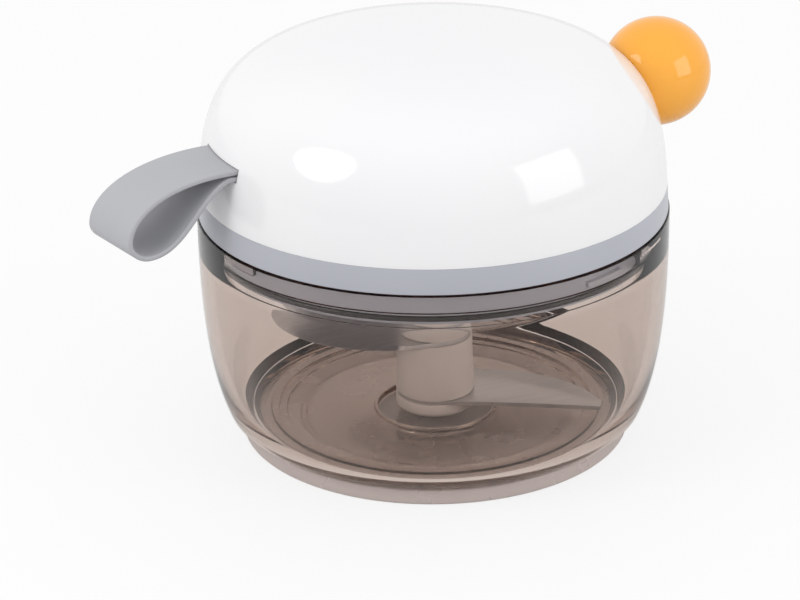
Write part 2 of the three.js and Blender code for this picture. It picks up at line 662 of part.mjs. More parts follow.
// A sickle-shaped blade with its root at the stem and its tip swept back.
function blade() {
  const hub = BLADE_HUB_RADIUS;
  const [[lowOut, lowUp], [highOut, highUp]] = BLADE_BACK_SHARES;
  const [frontOut, frontUp] = BLADE_FRONT_SHARES;
  const frontTip = [BLADE_REACH - BLADE_TIP_WIDTH / 4, -BLADE_SWEEP - BLADE_TIP_WIDTH];
  const shape = new THREE.Shape();
  shape.moveTo(0, -hub);
  shape.absarc(0, 0, hub, turn(-90), turn(90), true);
  shape.bezierCurveTo(
    lowOut * BLADE_REACH, lowUp * hub,
    highOut * BLADE_REACH, highUp * hub,
    BLADE_REACH, -BLADE_SWEEP,
  );
  shape.lineTo(...frontTip);
  shape.quadraticCurveTo(frontOut * BLADE_REACH, -frontUp * hub, 0, -hub);
  const hole = new THREE.Path();
  hole.absarc(0, 0, SPIGOT_RADIUS + SHAFT_GAP, 0, Math.PI * 2, true);
  shape.holes.push(hole);
  return prism(shape, 0, BLADE_THICKNESS, BLADE_STEPS);
}

function sealRing() {
  const inner = SKIRT_RADIUS - SEAL_GROOVE_DEPTH + SEAL_SEAT_GAP;
  const bottom = -SKIRT_DEPTH + SEAL_LIP + STACK_GAP;
  const top = bottom + SEAL_HEIGHT;
  const round = SEAL_HEIGHT / 3;
  return revolve([
    [inner, bottom],
    [SEAL_RADIUS - round, bottom],
    [SEAL_RADIUS, bottom + round],
    [SEAL_RADIUS, top - round],
    [SEAL_RADIUS - round, top],
    [inner, top],
  ], LARGE_STEPS);
}

function circlePlaces(count, radius, startAngle) {
  return Array.from({ length: count }, (_, i) => {
    const angle = turn(startAngle + (i * 360) / count);
    return [radius * Math.cos(angle), radius * Math.sin(angle)];
  });
}

// The grey ring that shows, with the skirt and tabs that lock it in the bowl, the plate that
// closes the bowl, the hub that guides the drive shaft and the posts that carry the spool.
function lidBase() {
  const grooveRadius = SKIRT_RADIUS - SEAL_GROOVE_DEPTH;
  const grooveBottom = -SKIRT_DEPTH + SEAL_LIP;
  const grooveTop = grooveBottom + SEAL_HEIGHT + 2 * STACK_GAP;
  const skirtBore = SKIRT_RADIUS - SKIRT_WALL;
  const snapTop = RING_HEIGHT - SNAP_DEPTH;
  const body = revolve([
    [HUB_BORE_RADIUS, -HUB_DROP],
    [HUB_RADIUS, -HUB_DROP],
    [HUB_RADIUS, PLATE_UNDERSIDE],
    [skirtBore, PLATE_UNDERSIDE],
    [skirtBore, -SKIRT_DEPTH],
    [SKIRT_RADIUS, -SKIRT_DEPTH],
    [SKIRT_RADIUS, grooveBottom],
    [grooveRadius, grooveBottom],
    [grooveRadius, grooveTop],
    [SKIRT_RADIUS, grooveTop],
    [SKIRT_RADIUS, 0],
    [RING_RADIUS, 0],
    [RING_TOP_RADIUS, RING_HEIGHT],
    [RING_BORE_RADIUS, RING_HEIGHT],
    [RING_BORE_RADIUS, snapTop],
    [RING_BORE_RADIUS + SNAP_BEAD, snapTop - SNAP_WIDTH / 2],
    [RING_BORE_RADIUS, snapTop - SNAP_WIDTH],
    [RING_BORE_RADIUS, RING_FLOOR],
    [skirtBore, RING_FLOOR],
    [skirtBore, -PLATE_TOP_DROP],
    [HUB_RADIUS, -PLATE_TOP_DROP],
    [HUB_RADIUS, HUB_RISE],
    [HUB_BORE_RADIUS, HUB_RISE],
  ], LARGE_STEPS);
  const lugBottom = BOWL_HEIGHT - LUG_DEPTH - LUG_HEIGHT;
  const tabTop = lugBottom - RUNNING_GAP - LID_SEAT_HEIGHT;
  const tabs = bayonetRing(
    SKIRT_RADIUS - SKIRT_WALL / 2,
    RIM_BORE_RADIUS - RUNNING_GAP,
    tabTop - TAB_HEIGHT,
    TAB_HEIGHT,
    TAB_ANGLE,
    BAYONET_ANGLE - LID_TURN_ANGLE,
  );
  const postBottom = -PLATE_TOP_DROP - PLATE_THICKNESS / 2;
  const posts = circlePlaces(POST_COUNT, POST_CIRCLE_RADIUS, POST_ANGLE).map(([x, y]) => {
    const post = cylinder(POST_RADIUS, postBottom, BRIDGE_BOTTOM - STACK_GAP - postBottom);
    const depth = SCREW_LENGTH + CUT_OVERRUN;
    const hole = cylinder(SCREW_RADIUS + SHAFT_GAP, BRIDGE_BOTTOM - depth, depth + CUT_OVERRUN);
    return post.subtract(hole).translate([x, y, 0]);
  });
  return [...tabs, ...posts].reduce((solid, extra) => solid.add(extra), body);
}

function shaftBush() {
  const bore = SHAFT_RADIUS + SHAFT_GAP;
  const flangeBottom = HUB_RISE + STACK_GAP;
  return revolve([
    [bore, -HUB_DROP],
    [BUSH_RADIUS, -HUB_DROP],
    [BUSH_RADIUS, flangeBottom],
    [BUSH_FLANGE_RADIUS, flangeBottom],
    [BUSH_FLANGE_RADIUS, BUSH_TOP],
    [bore, BUSH_TOP],
  ], MEDIUM_STEPS);
}

// The shaft has a groove for its clip under the hub, and a flat tang below.
function driveShaft() {
  const grooveRadius = SHAFT_RADIUS - CLIP_GROOVE_DEPTH;
  const tangBottom = SOCKET_BOTTOM + TANG_END_SPACE - LID_SEAT_HEIGHT;
  const round = revolve([
    [0, TANG_TOP],
    [SHAFT_RADIUS, TANG_TOP],
    [SHAFT_RADIUS, CLIP_GROOVE_BOTTOM],
    [grooveRadius, CLIP_GROOVE_BOTTOM],
    [grooveRadius, CLIP_GROOVE_TOP],
    [SHAFT_RADIUS, CLIP_GROOVE_TOP],
    [SHAFT_RADIUS, RATCHET_TOP - EDGE],
    [SHAFT_RADIUS - EDGE, RATCHET_TOP],
    [0, RATCHET_TOP],
  ], SMALL_STEPS);
  const tang = box(
    [-TANG_WIDTH / 2, -TANG_THICKNESS / 2, tangBottom],
    [TANG_WIDTH / 2, TANG_THICKNESS / 2, TANG_TOP + EDGE / 2],
  );
  return round.add(tang);
}

function shaftClip() {
  const inner = SHAFT_RADIUS - CLIP_GROOVE_DEPTH + STACK_GAP;
  const half = CLIP_OPENING_ANGLE / 2;
  const shape = new THREE.Shape();
  shape.absarc(0, 0, inner + CLIP_WIDTH, turn(half), turn(360 - half), false);
  shape.absarc(0, 0, inner, turn(360 - half), turn(half), true);
  return prism(shape, CLIP_BOTTOM, CLIP_THICKNESS);
}

// Saw teeth: a steep face that a pawl pushes, then a back that slopes down to the next root.
function ratchetWheel() {
  const toothAngle = 360 / RATCHET_TEETH;
  const depth = RATCHET_RADIUS - RATCHET_ROOT_RADIUS;
  const steep = PAWL_TIP_ANGLE + PAWL_TOOTH_ANGLE;
  const shape = new THREE.Shape();
  for (let tooth = 0; tooth < RATCHET_TEETH; tooth += 1) {
    for (let step = 0; step <= RATCHET_TOOTH_STEPS; step += 1) {
      const share = step / RATCHET_TOOTH_STEPS;
      const angle = turn(steep + (tooth + share) * toothAngle);
      const radius = RATCHET_RADIUS - share * depth;
      const place = [radius * Math.cos(angle), radius * Math.sin(angle)];
      if (tooth === 0 && step === 0) shape.moveTo(...place);
      else shape.lineTo(...place);
    }
  }
  shape.closePath();
  const hole = new THREE.Path();
  hole.absarc(0, 0, SHAFT_RADIUS + STACK_GAP, 0, Math.PI * 2, true);
  shape.holes.push(hole);
  return prism(shape, RATCHET_BOTTOM, RATCHET_HEIGHT);
}

// One pawl, placed for a pivot on the +X side: a boss on its pin and an arm to its tip.
function pawl() {
  const tip = turn(PAWL_TIP_ANGLE);
  const innerRadius = RATCHET_ROOT_RADIUS + RUNNING_GAP + STACK_GAP;
  const along = (radius) => [radius * Math.cos(tip), radius * Math.sin(tip)];
  const [[farOut, farUp], [nearOut, nearUp]] = PAWL_ARM_SHARES;
  const arm = new THREE.Shape();
  arm.moveTo(...along(innerRadius));
  arm.lineTo(PAWL_PIVOT_RADIUS + nearOut * PAWL_BOSS_RADIUS, nearUp * PAWL_BOSS_RADIUS);
  arm.lineTo(PAWL_PIVOT_RADIUS + farOut * PAWL_BOSS_RADIUS, farUp * PAWL_BOSS_RADIUS);
  arm.lineTo(...along(innerRadius + PAWL_TIP_WIDTH));
  arm.closePath();
  const boss = cylinder(PAWL_BOSS_RADIUS, RATCHET_BOTTOM, PAWL_HEIGHT);
  const boreLength = PAWL_HEIGHT + 2 * CUT_OVERRUN;
  const bore = cylinder(PAWL_PIN_RADIUS + SHAFT_GAP, RATCHET_BOTTOM - CUT_OVERRUN, boreLength);
  const atPivot = (solid) => solid.translate([PAWL_PIVOT_RADIUS, 0, 0]);
  return prism(arm, RATCHET_BOTTOM, PAWL_HEIGHT).add(atPivot(boss)).subtract(atPivot(bore));
}

// The spool's recess holds the spring, its hub turns on the arbor, and its pins carry the pawls.
function spool() {
  const bore = ARBOR_RADIUS + SHAFT_GAP;
  const body = revolve([
    [bore, SPOOL_BOTTOM],
    [SPOOL_FLANGE_RADIUS, SPOOL_BOTTOM],
    [SPOOL_FLANGE_RADIUS, CORD_ZONE_BOTTOM],
    [BARREL_RADIUS, CORD_ZONE_BOTTOM],
    [BARREL_RADIUS, CORD_ZONE_TOP],
    [SPOOL_FLANGE_RADIUS, CORD_ZONE_TOP],
    [SPOOL_FLANGE_RADIUS, SPOOL_TOP],
    [SPOOL_RECESS_RADIUS, SPOOL_TOP],
    [SPOOL_RECESS_RADIUS, SPOOL_FLOOR],
    [bore, SPOOL_FLOOR],
  ], MEDIUM_STEPS);
  const pawlTop = RATCHET_BOTTOM + PAWL_HEIGHT;
  const collarBottom = pawlTop + RUNNING_GAP;
  const flangeMiddle = SPOOL_BOTTOM + SPOOL_FLANGE_THICKNESS / 2;
  const pins = circlePlaces(PAWL_COUNT, PAWL_PIVOT_RADIUS, 0).flatMap(([x, y]) => [
    cylinder(PAWL_COLLAR_RADIUS, collarBottom, flangeMiddle - collarBottom).translate([x, y, 0]),
    cylinder(PAWL_PIN_RADIUS, RATCHET_BOTTOM, flangeMiddle - RATCHET_BOTTOM).translate([x, y, 0]),
  ]);
  return pins.reduce((solid, pin) => solid.add(pin), body);
}

// The cord leaves the winding where a line from the guide touches it.
const leadAngle = THREE.MathUtils.radToDeg(Math.acos(WINDING_RADIUS / GUIDE_FRONT));
const leadStart = new THREE.Vector3(
  WINDING_RADIUS * Math.cos(turn(leadAngle)),
  -WINDING_RADIUS * Math.sin(turn(leadAngle)),
  PULL_HEIGHT,
);

class CordHelix extends THREE.Curve {
  getPoint(share, target = new THREE.Vector3()) {
    const angle = turn(-leadAngle) - (1 - share) * WINDING_TURNS * Math.PI * 2;
    const height = WINDING_BOTTOM + share * WINDING_TURNS * WINDING_PITCH;
    return target.set(WINDING_RADIUS * Math.cos(angle), WINDING_RADIUS * Math.sin(angle), height);
  }
}

// Least gap between a wound cord's own turns, from points of its centre line that lie at least
// half a turn apart.
function gapBetweenTurns(curve, steps, stepsPerTurn) {
  const places = curve.getPoints(steps);
  const apart = places.flatMap((place, i) => {
    const later = places.slice(i + stepsPerTurn / 2);
    return later.map((other) => place.distanceTo(other));
  });
  return Math.min(...apart) - 2 * CORD_RADIUS;
}

function cordWinding() {
  const steps = WINDING_TURNS * WINDING_STEPS_PER_TURN;
  const helix = new CordHelix();
  const gap = gapBetweenTurns(helix, steps, WINDING_STEPS_PER_TURN);
  console.log(`cord winding: least gap to itself ${gap.toFixed(2)} mm`);
  return tube(helix, CORD_RADIUS, WINDING_SIDES, steps);
}

// The cord runs straight from the winding to the guide, and then along X into the ball.
function cordLead() {
  const corner = new THREE.Vector3(GUIDE_FRONT - GUIDE_LENGTH - LEAD_BEND, 0, PULL_HEIGHT);
  const end = new THREE.Vector3(KNOT_PLACE - KNOT_RADIUS - RUNNING_GAP, 0, PULL_HEIGHT);
  const inward = corner.clone().lerp(leadStart, LEAD_BEND / corner.distanceTo(leadStart));
  const outward = corner.clone().lerp(end, LEAD_BEND / corner.distanceTo(end));
  const start = leadStart.clone().lerp(corner, RUNNING_GAP / corner.distanceTo(leadStart));
  const route = new THREE.CurvePath();
  route.add(new THREE.LineCurve3(start, inward));
  route.add(new THREE.QuadraticBezierCurve3(inward, corner, outward));
  route.add(new THREE.LineCurve3(outward, end));
  return tube(route, CORD_RADIUS, LEAD_SIDES, Math.round(route.getLength() / LEAD_STEP));
}

// A flat strip wound in a steady spiral between the arbor and the spool's recess.
function mainspring() {
  const innerRadius = ARBOR_RADIUS + RUNNING_GAP + SPRING_THICKNESS / 2;
  const outerRadius = SPOOL_RECESS_RADIUS - RUNNING_GAP - SPRING_THICKNESS / 2;
  const steps = SPRING_TURNS * SPRING_STEPS_PER_TURN;
  const edge = (side) => Array.from({ length: steps + 1 }, (_, i) => {
    const share = i / steps;
    const radius = innerRadius + share * (outerRadius - innerRadius) + (side * SPRING_THICKNESS) / 2;
    const angle = share * SPRING_TURNS * Math.PI * 2;
    return new THREE.Vector2(radius * Math.cos(angle), radius * Math.sin(angle));
  });
  const shape = new THREE.Shape([...edge(1), ...edge(-1).reverse()]);
  const bottom = SPOOL_FLOOR + RUNNING_GAP;
  return prism(shape, bottom, SPOOL_TOP - SPRING_TOP_SPACE - bottom);
}

// A plate with three arms on the posts, and the arbor that the spool turns on.
function spoolBridge() {
  const hub = cylinder(BRIDGE_HUB_RADIUS, BRIDGE_BOTTOM, BRIDGE_THICKNESS, MEDIUM_STEPS);
  const arbor = cylinder(ARBOR_RADIUS, SPOOL_BOTTOM + STACK_GAP, BRIDGE_TOP - SPOOL_BOTTOM - STACK_GAP);
  const half = BRIDGE_ARM_WIDTH / 2;
  const holeDepth = SCREW_LENGTH + CUT_OVERRUN;
  const arborHole = cylinder(SCREW_RADIUS + SHAFT_GAP, SPOOL_BOTTOM - CUT_OVERRUN, holeDepth + CUT_OVERRUN);
  let solid = hub.add(arbor).subtract(arborHole);
  for (let i = 0; i < POST_COUNT; i += 1) {
    const bar = box([0, -half, BRIDGE_BOTTOM], [POST_CIRCLE_RADIUS, half, BRIDGE_TOP]);
    const end = cylinder(half, BRIDGE_BOTTOM, BRIDGE_THICKNESS).translate([POST_CIRCLE_RADIUS, 0, 0]);
    solid = solid.add(turned(bar.add(end), POST_ANGLE + (i * 360) / POST_COUNT));
  }
  for (const [x, y] of circlePlaces(POST_COUNT, POST_CIRCLE_RADIUS, POST_ANGLE)) {
    const depth = BRIDGE_THICKNESS + 2 * CUT_OVERRUN;
    const hole = cylinder(SCREW_RADIUS + SHAFT_GAP, BRIDGE_BOTTOM - CUT_OVERRUN, depth);
    solid = solid.subtract(hole.translate([x, y, 0]));
  }
  return solid;
}

// A pan-head screw that points down, with its head's underside at height zero.
function screw(headRadius, headHeight, length) {
  return revolve([
    [0, -length],
    [SCREW_RADIUS - EDGE, -length],
    [SCREW_RADIUS, -length + EDGE],
    [SCREW_RADIUS, 0],
    [headRadius, 0],
    [headRadius, headHeight - EDGE],
    [headRadius - EDGE, headHeight],
    [0, headHeight],
  ], SMALL_STEPS);
}

function bridgeScrew() {
  const length = SCREW_LENGTH + BRIDGE_THICKNESS - CUT_OVERRUN;
  return screw(SCREW_HEAD_RADIUS, SCREW_HEAD_HEIGHT, length);
}

function arborScrew() {
  const upward = screw(ARBOR_HEAD_RADIUS, ARBOR_HEAD_HEIGHT, SCREW_LENGTH).rotate([180, 0, 0]);
  return raised(upward, SPOOL_BOTTOM - STACK_GAP);
}

// Outline of the dome's outside, or of its inside when it is drawn in by the wall.
function crown(inset, bottomHeight) {
  const radius = RING_TOP_RADIUS - inset;
  const top = DOME_HEIGHT - inset;
  const [sideOut, sideUp] = CROWN_SIDE_SHARES;
  return bend(
    [0, top],
    [CROWN_TOP_SHARE * radius, top],
    [sideOut * radius, bottomHeight + sideUp * (top - bottomHeight)],
    [radius, bottomHeight],
    CROWN_STEPS,
  );
}

// A glossy shell that snaps into the grey ring, with a cup for the ball, a hole for the cord
// guide, a slot for the strap and two ears that hold the strap's bar.
function domeCover() {
  const bottom = RING_HEIGHT + DOME_PARTING_GAP;
  const spigotRadius = RING_BORE_RADIUS - RUNNING_GAP;
  const spigotBore = spigotRadius - DOME_SPIGOT_WALL;
  const snapTop = RING_HEIGHT - SNAP_DEPTH;
  const innerBottom = bottom + DOME_WALL;
  const shell = revolve([
    ...crown(0, bottom),
    [spigotRadius, bottom],
    [spigotRadius, snapTop],
    [spigotRadius + SNAP_BEAD, snapTop - SNAP_WIDTH / 2],
    [spigotRadius, snapTop - SNAP_WIDTH],
    [spigotRadius, bottom - DOME_SPIGOT_LENGTH],
    [spigotBore, bottom - DOME_SPIGOT_LENGTH],
    [spigotBore, innerBottom],
    ...crown(DOME_WALL, innerBottom).reverse(),
  ], LARGE_STEPS);
  const filled = revolve([...crown(0, bottom), [0, bottom]], LARGE_STEPS);

  const ballCentre = [BALL_CENTRE, 0, PULL_HEIGHT];
  const cupOutside = sphere(CUP_RADIUS + CUP_WALL, ballCentre, MEDIUM_STEPS).intersect(filled);
  const cupInside = sphere(CUP_RADIUS, ballCentre, MEDIUM_STEPS);
  const guideHole = alongX(cylinder(GUIDE_RADIUS + SHAFT_GAP, 0, BALL_CENTRE)).translate([0, 0, PULL_HEIGHT]);

  const { ears, barHole, slot } = strapAnchorage();
  return shell
    .add(cupOutside)
    .subtract(cupInside)
    .subtract(guideHole)
    .add(ears.intersect(filled))
    .subtract(barHole)
    .subtract(slot);
}

// What the strap needs in the dome: two ears, the bar's hole through them and the slot.
function strapAnchorage() {
  const inside = STRAP_WIDTH / 2 + RUNNING_GAP;
  const outside = inside + ANCHOR_EAR_THICKNESS;
  const front = -ANCHOR_PLACE + ANCHOR_EAR_RADIUS;
  const block = (halfWidth, reach) => box(
    [-RING_TOP_RADIUS - CUT_OVERRUN, -halfWidth, STRAP_SLOT_HEIGHT - ANCHOR_EAR_RADIUS],
    [reach, halfWidth, STRAP_SLOT_HEIGHT + ANCHOR_EAR_RADIUS],
  );
  const holeHalf = outside + CUT_OVERRUN;
  const hole = alongY(cylinder(ANCHOR_RADIUS + SHAFT_GAP, -holeHalf, 2 * holeHalf));
  const slotHalf = STRAP_SLOT_SPREAD + STRAP_THICKNESS / 2 + STRAP_SLOT_GAP;
  const slot = box(
    [-RING_TOP_RADIUS - CUT_OVERRUN, -inside, STRAP_SLOT_HEIGHT - slotHalf],
    [-ANCHOR_PLACE, inside, STRAP_SLOT_HEIGHT + slotHalf],
  );
  return {
    ears: turned(block(outside, front).subtract(block(inside, front + CUT_OVERRUN)), STRAP_ANGLE),
    barHole: turned(hole.translate([-ANCHOR_PLACE, 0, STRAP_SLOT_HEIGHT]), STRAP_ANGLE),
    slot: turned(slot, STRAP_ANGLE),
  };
}

// The sleeve in the cup's middle that the cord runs through.
function cordGuide() {
  const bore = CORD_RADIUS + BALL_BORE_GAP;
  const sleeve = revolve([
    [bore, -GUIDE_LENGTH],
    [GUIDE_FLANGE_RADIUS, -GUIDE_LENGTH],
    [GUIDE_FLANGE_RADIUS, GUIDE_FLANGE_THICKNESS - GUIDE_LENGTH],
    [GUIDE_RADIUS, GUIDE_FLANGE_THICKNESS - GUIDE_LENGTH],
    [GUIDE_RADIUS, -EDGE],
    [GUIDE_RADIUS - EDGE, 0],
    [bore, 0],
  ], SMALL_STEPS);
  return alongX(sleeve).translate([GUIDE_FRONT, 0, PULL_HEIGHT]);
}

// The ball's outline from one place to another, each given as an angle from its outer pole.
function ballArc(fromAngle, toAngle, steps) {
  return Array.from({ length: steps + 1 }, (_, i) => {
    const angle = fromAngle + ((toAngle - fromAngle) * i) / steps;
    return [BALL_RADIUS * Math.sin(angle), BALL_RADIUS * Math.cos(angle)];
  });
}

// The ball is bored for the cord, and its outer side has a pocket for the knot and the plug.
function pullBall() {
  const bore = CORD_RADIUS + BALL_BORE_GAP;
  const boreAngle = Math.PI - Math.asin(bore / BALL_RADIUS);
  const pocketAngle = Math.asin(BALL_POCKET_RADIUS / BALL_RADIUS);
  const ball = revolve([
    ...ballArc(boreAngle, pocketAngle, SMALL_STEPS),
    [BALL_POCKET_RADIUS, BALL_POCKET_START],
    [bore, BALL_POCKET_START],
  ], MEDIUM_STEPS);
  return alongX(ball).translate([BALL_CENTRE, 0, PULL_HEIGHT]);
}

function ballPlug() {
  const radius = BALL_POCKET_RADIUS - SHAFT_GAP;
  const seat = sphereDepth(BALL_RADIUS, radius) - PLUG_THICKNESS;
  const plug = revolve([
    [0, seat],
    [radius, seat],
    ...ballArc(Math.asin(radius / BALL_RADIUS), 0, CORNER_STEPS),
  ], SMALL_STEPS);
  return alongX(plug).translate([BALL_CENTRE, 0, PULL_HEIGHT]);
}

const cordKnot = () => sphere(KNOT_RADIUS, [KNOT_PLACE, 0, PULL_HEIGHT], SMALL_STEPS);

// Centre line of the strap, seen from the side: round the bar, out through the slot, along the
// upper ply, round the tip and back along the lower ply.
function strapLine() {
  const top = STRAP_SLOT_HEIGHT + STRAP_SLOT_SPREAD;
  const bottom = STRAP_SLOT_HEIGHT - STRAP_SLOT_SPREAD;
  const place = (out, down) => [-STRAP_MOUTH - out * STRAP_REACH, top - down * STRAP_DROP];
  const toCorner = (share) => share + STRAP_TIP_SHARE * (1 - share);
  const [upperOut, upperDown] = STRAP_UPPER_SHARES;
  const [lowOut, lowerOut, lowerDown] = STRAP_LOWER_SHARES;
  const far = place(1, STRAP_FAR_SHARE);
  const low = place(STRAP_LOW_SHARE, 1);
  const upper = bend(place(0, 0), place(upperOut, 0), place(1, upperDown), far, STRAP_CURVE_STEPS);
  const tip = bend(
    far,
    place(1, toCorner(STRAP_FAR_SHARE)),
    place(toCorner(STRAP_LOW_SHARE), 1),
    low,
    STRAP_TURN_STEPS / 2,
  );
  const lower = bend(
    low,
    place(lowOut, 1),
    place(lowerOut, lowerDown),
    [-STRAP_MOUTH, bottom],
    STRAP_CURVE_STEPS,
  );
  const wrapRadius = ANCHOR_RADIUS + RUNNING_GAP + STRAP_THICKNESS / 2;
  const wrap = Array.from({ length: STRAP_TURN_STEPS + 1 }, (_, i) => {
    const angle = turn(-WRAP_ANGLE + (2 * WRAP_ANGLE * i) / STRAP_TURN_STEPS);
    const rise = wrapRadius * Math.sin(angle);
    return [wrapRadius * Math.cos(angle) - ANCHOR_PLACE, STRAP_SLOT_HEIGHT + rise];
  });
  const loop = [...upper, ...tip.slice(1), ...lower.slice(1)];
  const places = [...wrap, [-STRAP_NECK, top], ...loop, [-STRAP_NECK, bottom]];
  return places.map(([x, z]) => new THREE.Vector2(x, z));
}

function offsetLoop(points, distance) {
  const count = points.length;
  return points.map((point, i) => {
    const before = points[(i + count - 1) % count];
    const after = points[(i + 1) % count];
    const along = after.clone().sub(before).normalize();
    return new THREE.Vector2(point.x - along.y * distance, point.y + along.x * distance);
  });
}

// One endless band: its two plies lie together in the slot and open into a finger loop outside,
// where the back edge reaches further out and lower than the front edge.
function fingerStrap() {
  const line = strapLine();
  const shape = new THREE.Shape(offsetLoop(line, -STRAP_THICKNESS / 2));
  shape.holes.push(new THREE.Path(offsetLoop(line, STRAP_THICKNESS / 2)));
  const band = prism(shape, -STRAP_WIDTH / 2, STRAP_WIDTH).rotate([90, 0, 0]);
  const hung = band.warp((place) => {
    const out = Math.max(0, (-place[0] - STRAP_MOUTH) / STRAP_REACH);
    const back = 1 / 2 + place[1] / STRAP_WIDTH;
    place[0] -= out * back * STRAP_BACK_REACH;
    place[2] -= out * back * STRAP_BACK_DROP;
  });
  return turned(hung, STRAP_ANGLE);
}

function anchorBar() {
  const half = STRAP_WIDTH / 2 + RUNNING_GAP + ANCHOR_EAR_THICKNESS;
  const bar = alongY(cylinder(ANCHOR_RADIUS, -half, 2 * half));
  return turned(bar.translate([-ANCHOR_PLACE, 0, STRAP_SLOT_HEIGHT]), STRAP_ANGLE);
}

function bowlGroup() {
  const group = new THREE.Group();
  group.add(piece('nonslip_base', nonslipBase(), greyRubber()));
  group.add(piece('bowl', bowl(), smokedClear()));
  group.add(piece('pivot_pin', pivotPin(), steel()));
  return group;
}

function bladeGroup() {
  const group = new THREE.Group();
  const lowerStemBottom = LOWER_BLADE_BOTTOM + BLADE_THICKNESS + STACK_GAP;
  const add = (name, solid, material, height, angle = 0) => {
    const mesh = piece(name, solid, material);
    mesh.position.z = height;
    mesh.rotation.z = turn(angle);
    group.add(mesh);
  };
  add('blade_foot_cap', footCap(), stemPlastic(), 0);
  add('lower_blade', blade(), bladeSteel(), LOWER_BLADE_BOTTOM);
  add('lower_stem', lowerStem(), stemPlastic(), lowerStemBottom);
  add('upper_blade', blade(), bladeSteel(), UPPER_BLADE_BOTTOM, 180);
  add('upper_stem', upperStem(), stemPlastic(), UPPER_STEM_BOTTOM);
  group.position.z = STACK_BOTTOM;
  group.rotation.z = turn(BLADE_ANGLE);
  return group;
}

function mechanismGroup() {
  const group = new THREE.Group();
  group.add(piece('shaft_bush', shaftBush(), bronze()));
  group.add(piece('drive_shaft', driveShaft(), steel()));
  group.add(piece('shaft_clip', shaftClip(), steel()));
  group.add(piece('ratchet_wheel', ratchetWheel(), gearPlastic()));
  for (let i = 0; i < PAWL_COUNT; i += 1) {
    const mesh = piece(`pawl_${i + 1}`, pawl(), gearPlastic());
    mesh.rotation.z = (i * Math.PI * 2) / PAWL_COUNT;
    group.add(mesh);
  }
  group.add(piece('spool', spool(), innerPlastic()));
  group.add(piece('cord_winding', cordWinding(), cordWhite()));
  group.add(piece('mainspring', mainspring(), steel()));
  group.add(piece('spool_bridge', spoolBridge(), innerPlastic()));
  group.add(piece('arbor_screw', arborScrew(), steel()));
  circlePlaces(POST_COUNT, POST_CIRCLE_RADIUS, POST_ANGLE).forEach(([x, y], i) => {
    const mesh = piece(`bridge_screw_${i + 1}`, bridgeScrew(), steel());
    mesh.position.set(x, y, BRIDGE_TOP + STACK_GAP);
    group.add(mesh);
  });
  return group;
}

function lidGroup() {
  const group = new THREE.Group();
  group.add(piece('lid_seal', sealRing(), darkRubber()));
  group.add(piece('lid_base', lidBase(), greyShell()));
  group.add(mechanismGroup());
  group.add(piece('dome_cover', domeCover(), glossWhite()));
  group.add(piece('cord_guide', cordGuide(), steel()));
  group.add(piece('cord_lead', cordLead(), cordWhite()));
  group.add(piece('cord_knot', cordKnot(), cordWhite()));
  group.add(piece('pull_ball', pullBall(), orangeGloss()));
  group.add(piece('ball_plug', ballPlug(), orangeGloss()));
  group.add(piece('finger_strap', fingerStrap(), greyRubber()));
  group.add(piece('strap_bar', anchorBar(), steel()));
  group.position.z = LID_SEAT_HEIGHT;
  return group;
}

const chopper = new THREE.Group();
chopper.add(bowlGroup(), bladeGroup(), lidGroup());

export default chopper;
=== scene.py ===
"""The look of the pull-cord food chopper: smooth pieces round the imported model, and materials."""

import math

import bmesh
import bpy
from mathutils import Matrix, Vector


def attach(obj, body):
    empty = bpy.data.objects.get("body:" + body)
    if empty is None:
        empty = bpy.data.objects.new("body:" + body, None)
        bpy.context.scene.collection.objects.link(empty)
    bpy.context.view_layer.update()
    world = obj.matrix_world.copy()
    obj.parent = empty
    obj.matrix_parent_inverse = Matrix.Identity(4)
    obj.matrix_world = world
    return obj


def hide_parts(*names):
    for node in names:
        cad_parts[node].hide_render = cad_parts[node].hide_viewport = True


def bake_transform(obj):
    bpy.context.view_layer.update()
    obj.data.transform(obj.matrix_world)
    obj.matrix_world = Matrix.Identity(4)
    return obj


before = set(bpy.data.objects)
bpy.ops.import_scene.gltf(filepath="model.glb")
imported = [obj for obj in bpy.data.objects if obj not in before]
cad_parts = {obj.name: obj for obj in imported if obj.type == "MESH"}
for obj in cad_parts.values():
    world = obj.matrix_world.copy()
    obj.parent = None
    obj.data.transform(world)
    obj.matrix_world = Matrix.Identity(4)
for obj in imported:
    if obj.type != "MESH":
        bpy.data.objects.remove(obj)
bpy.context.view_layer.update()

MM = 0.001

# Lengths are in millimetres and angles in degrees, unless a comment says otherwise.

# Smoothness, in steps round a circle or along a curve
ROUND_STEPS = 160
SMALL_ROUND_STEPS = 64
CURVE_STEPS = 28
CORNER_STEPS = 10
FILLET_STEPS = 3
BLOCK_STEPS = 8
SHARP_ANGLE = 38

# In metres: points this near to each other are joined, and edges this short are dropped
WELD_LENGTH = 1e-7
LEAST_EDGE_LENGTH = 1e-8

# Rounding of the edges: radii, the least turn of a corner, and the most of a side that is used up
FILLET = 0.25
FINE_FILLET = 0.15
EDGE_FILLET = 0.06
RIM_FILLET = 0.5
PAD_FILLET = 0.6
FILLET_LEAST_TURN = 25
FILLET_MOST_SHARE = 0.45

# Camera, whose nearest and furthest sight are in metres
CAMERA_NEAR = 0.05
CAMERA_FAR = 20
CAMERA_AZIMUTH = -21.7
CAMERA_ELEVATION = 23.67
CAMERA_ROLL = -0.95
CAMERA_DISTANCE = 700
CAMERA_AIM = (-8.1, 0, 30.8)
CAMERA_LENS = 132.5
CAMERA_SENSOR = 36

# Clearances
RUNNING_GAP = 0.3
SHAFT_GAP = 0.1
STACK_GAP = 0.05
CUT_OVERRUN = 1

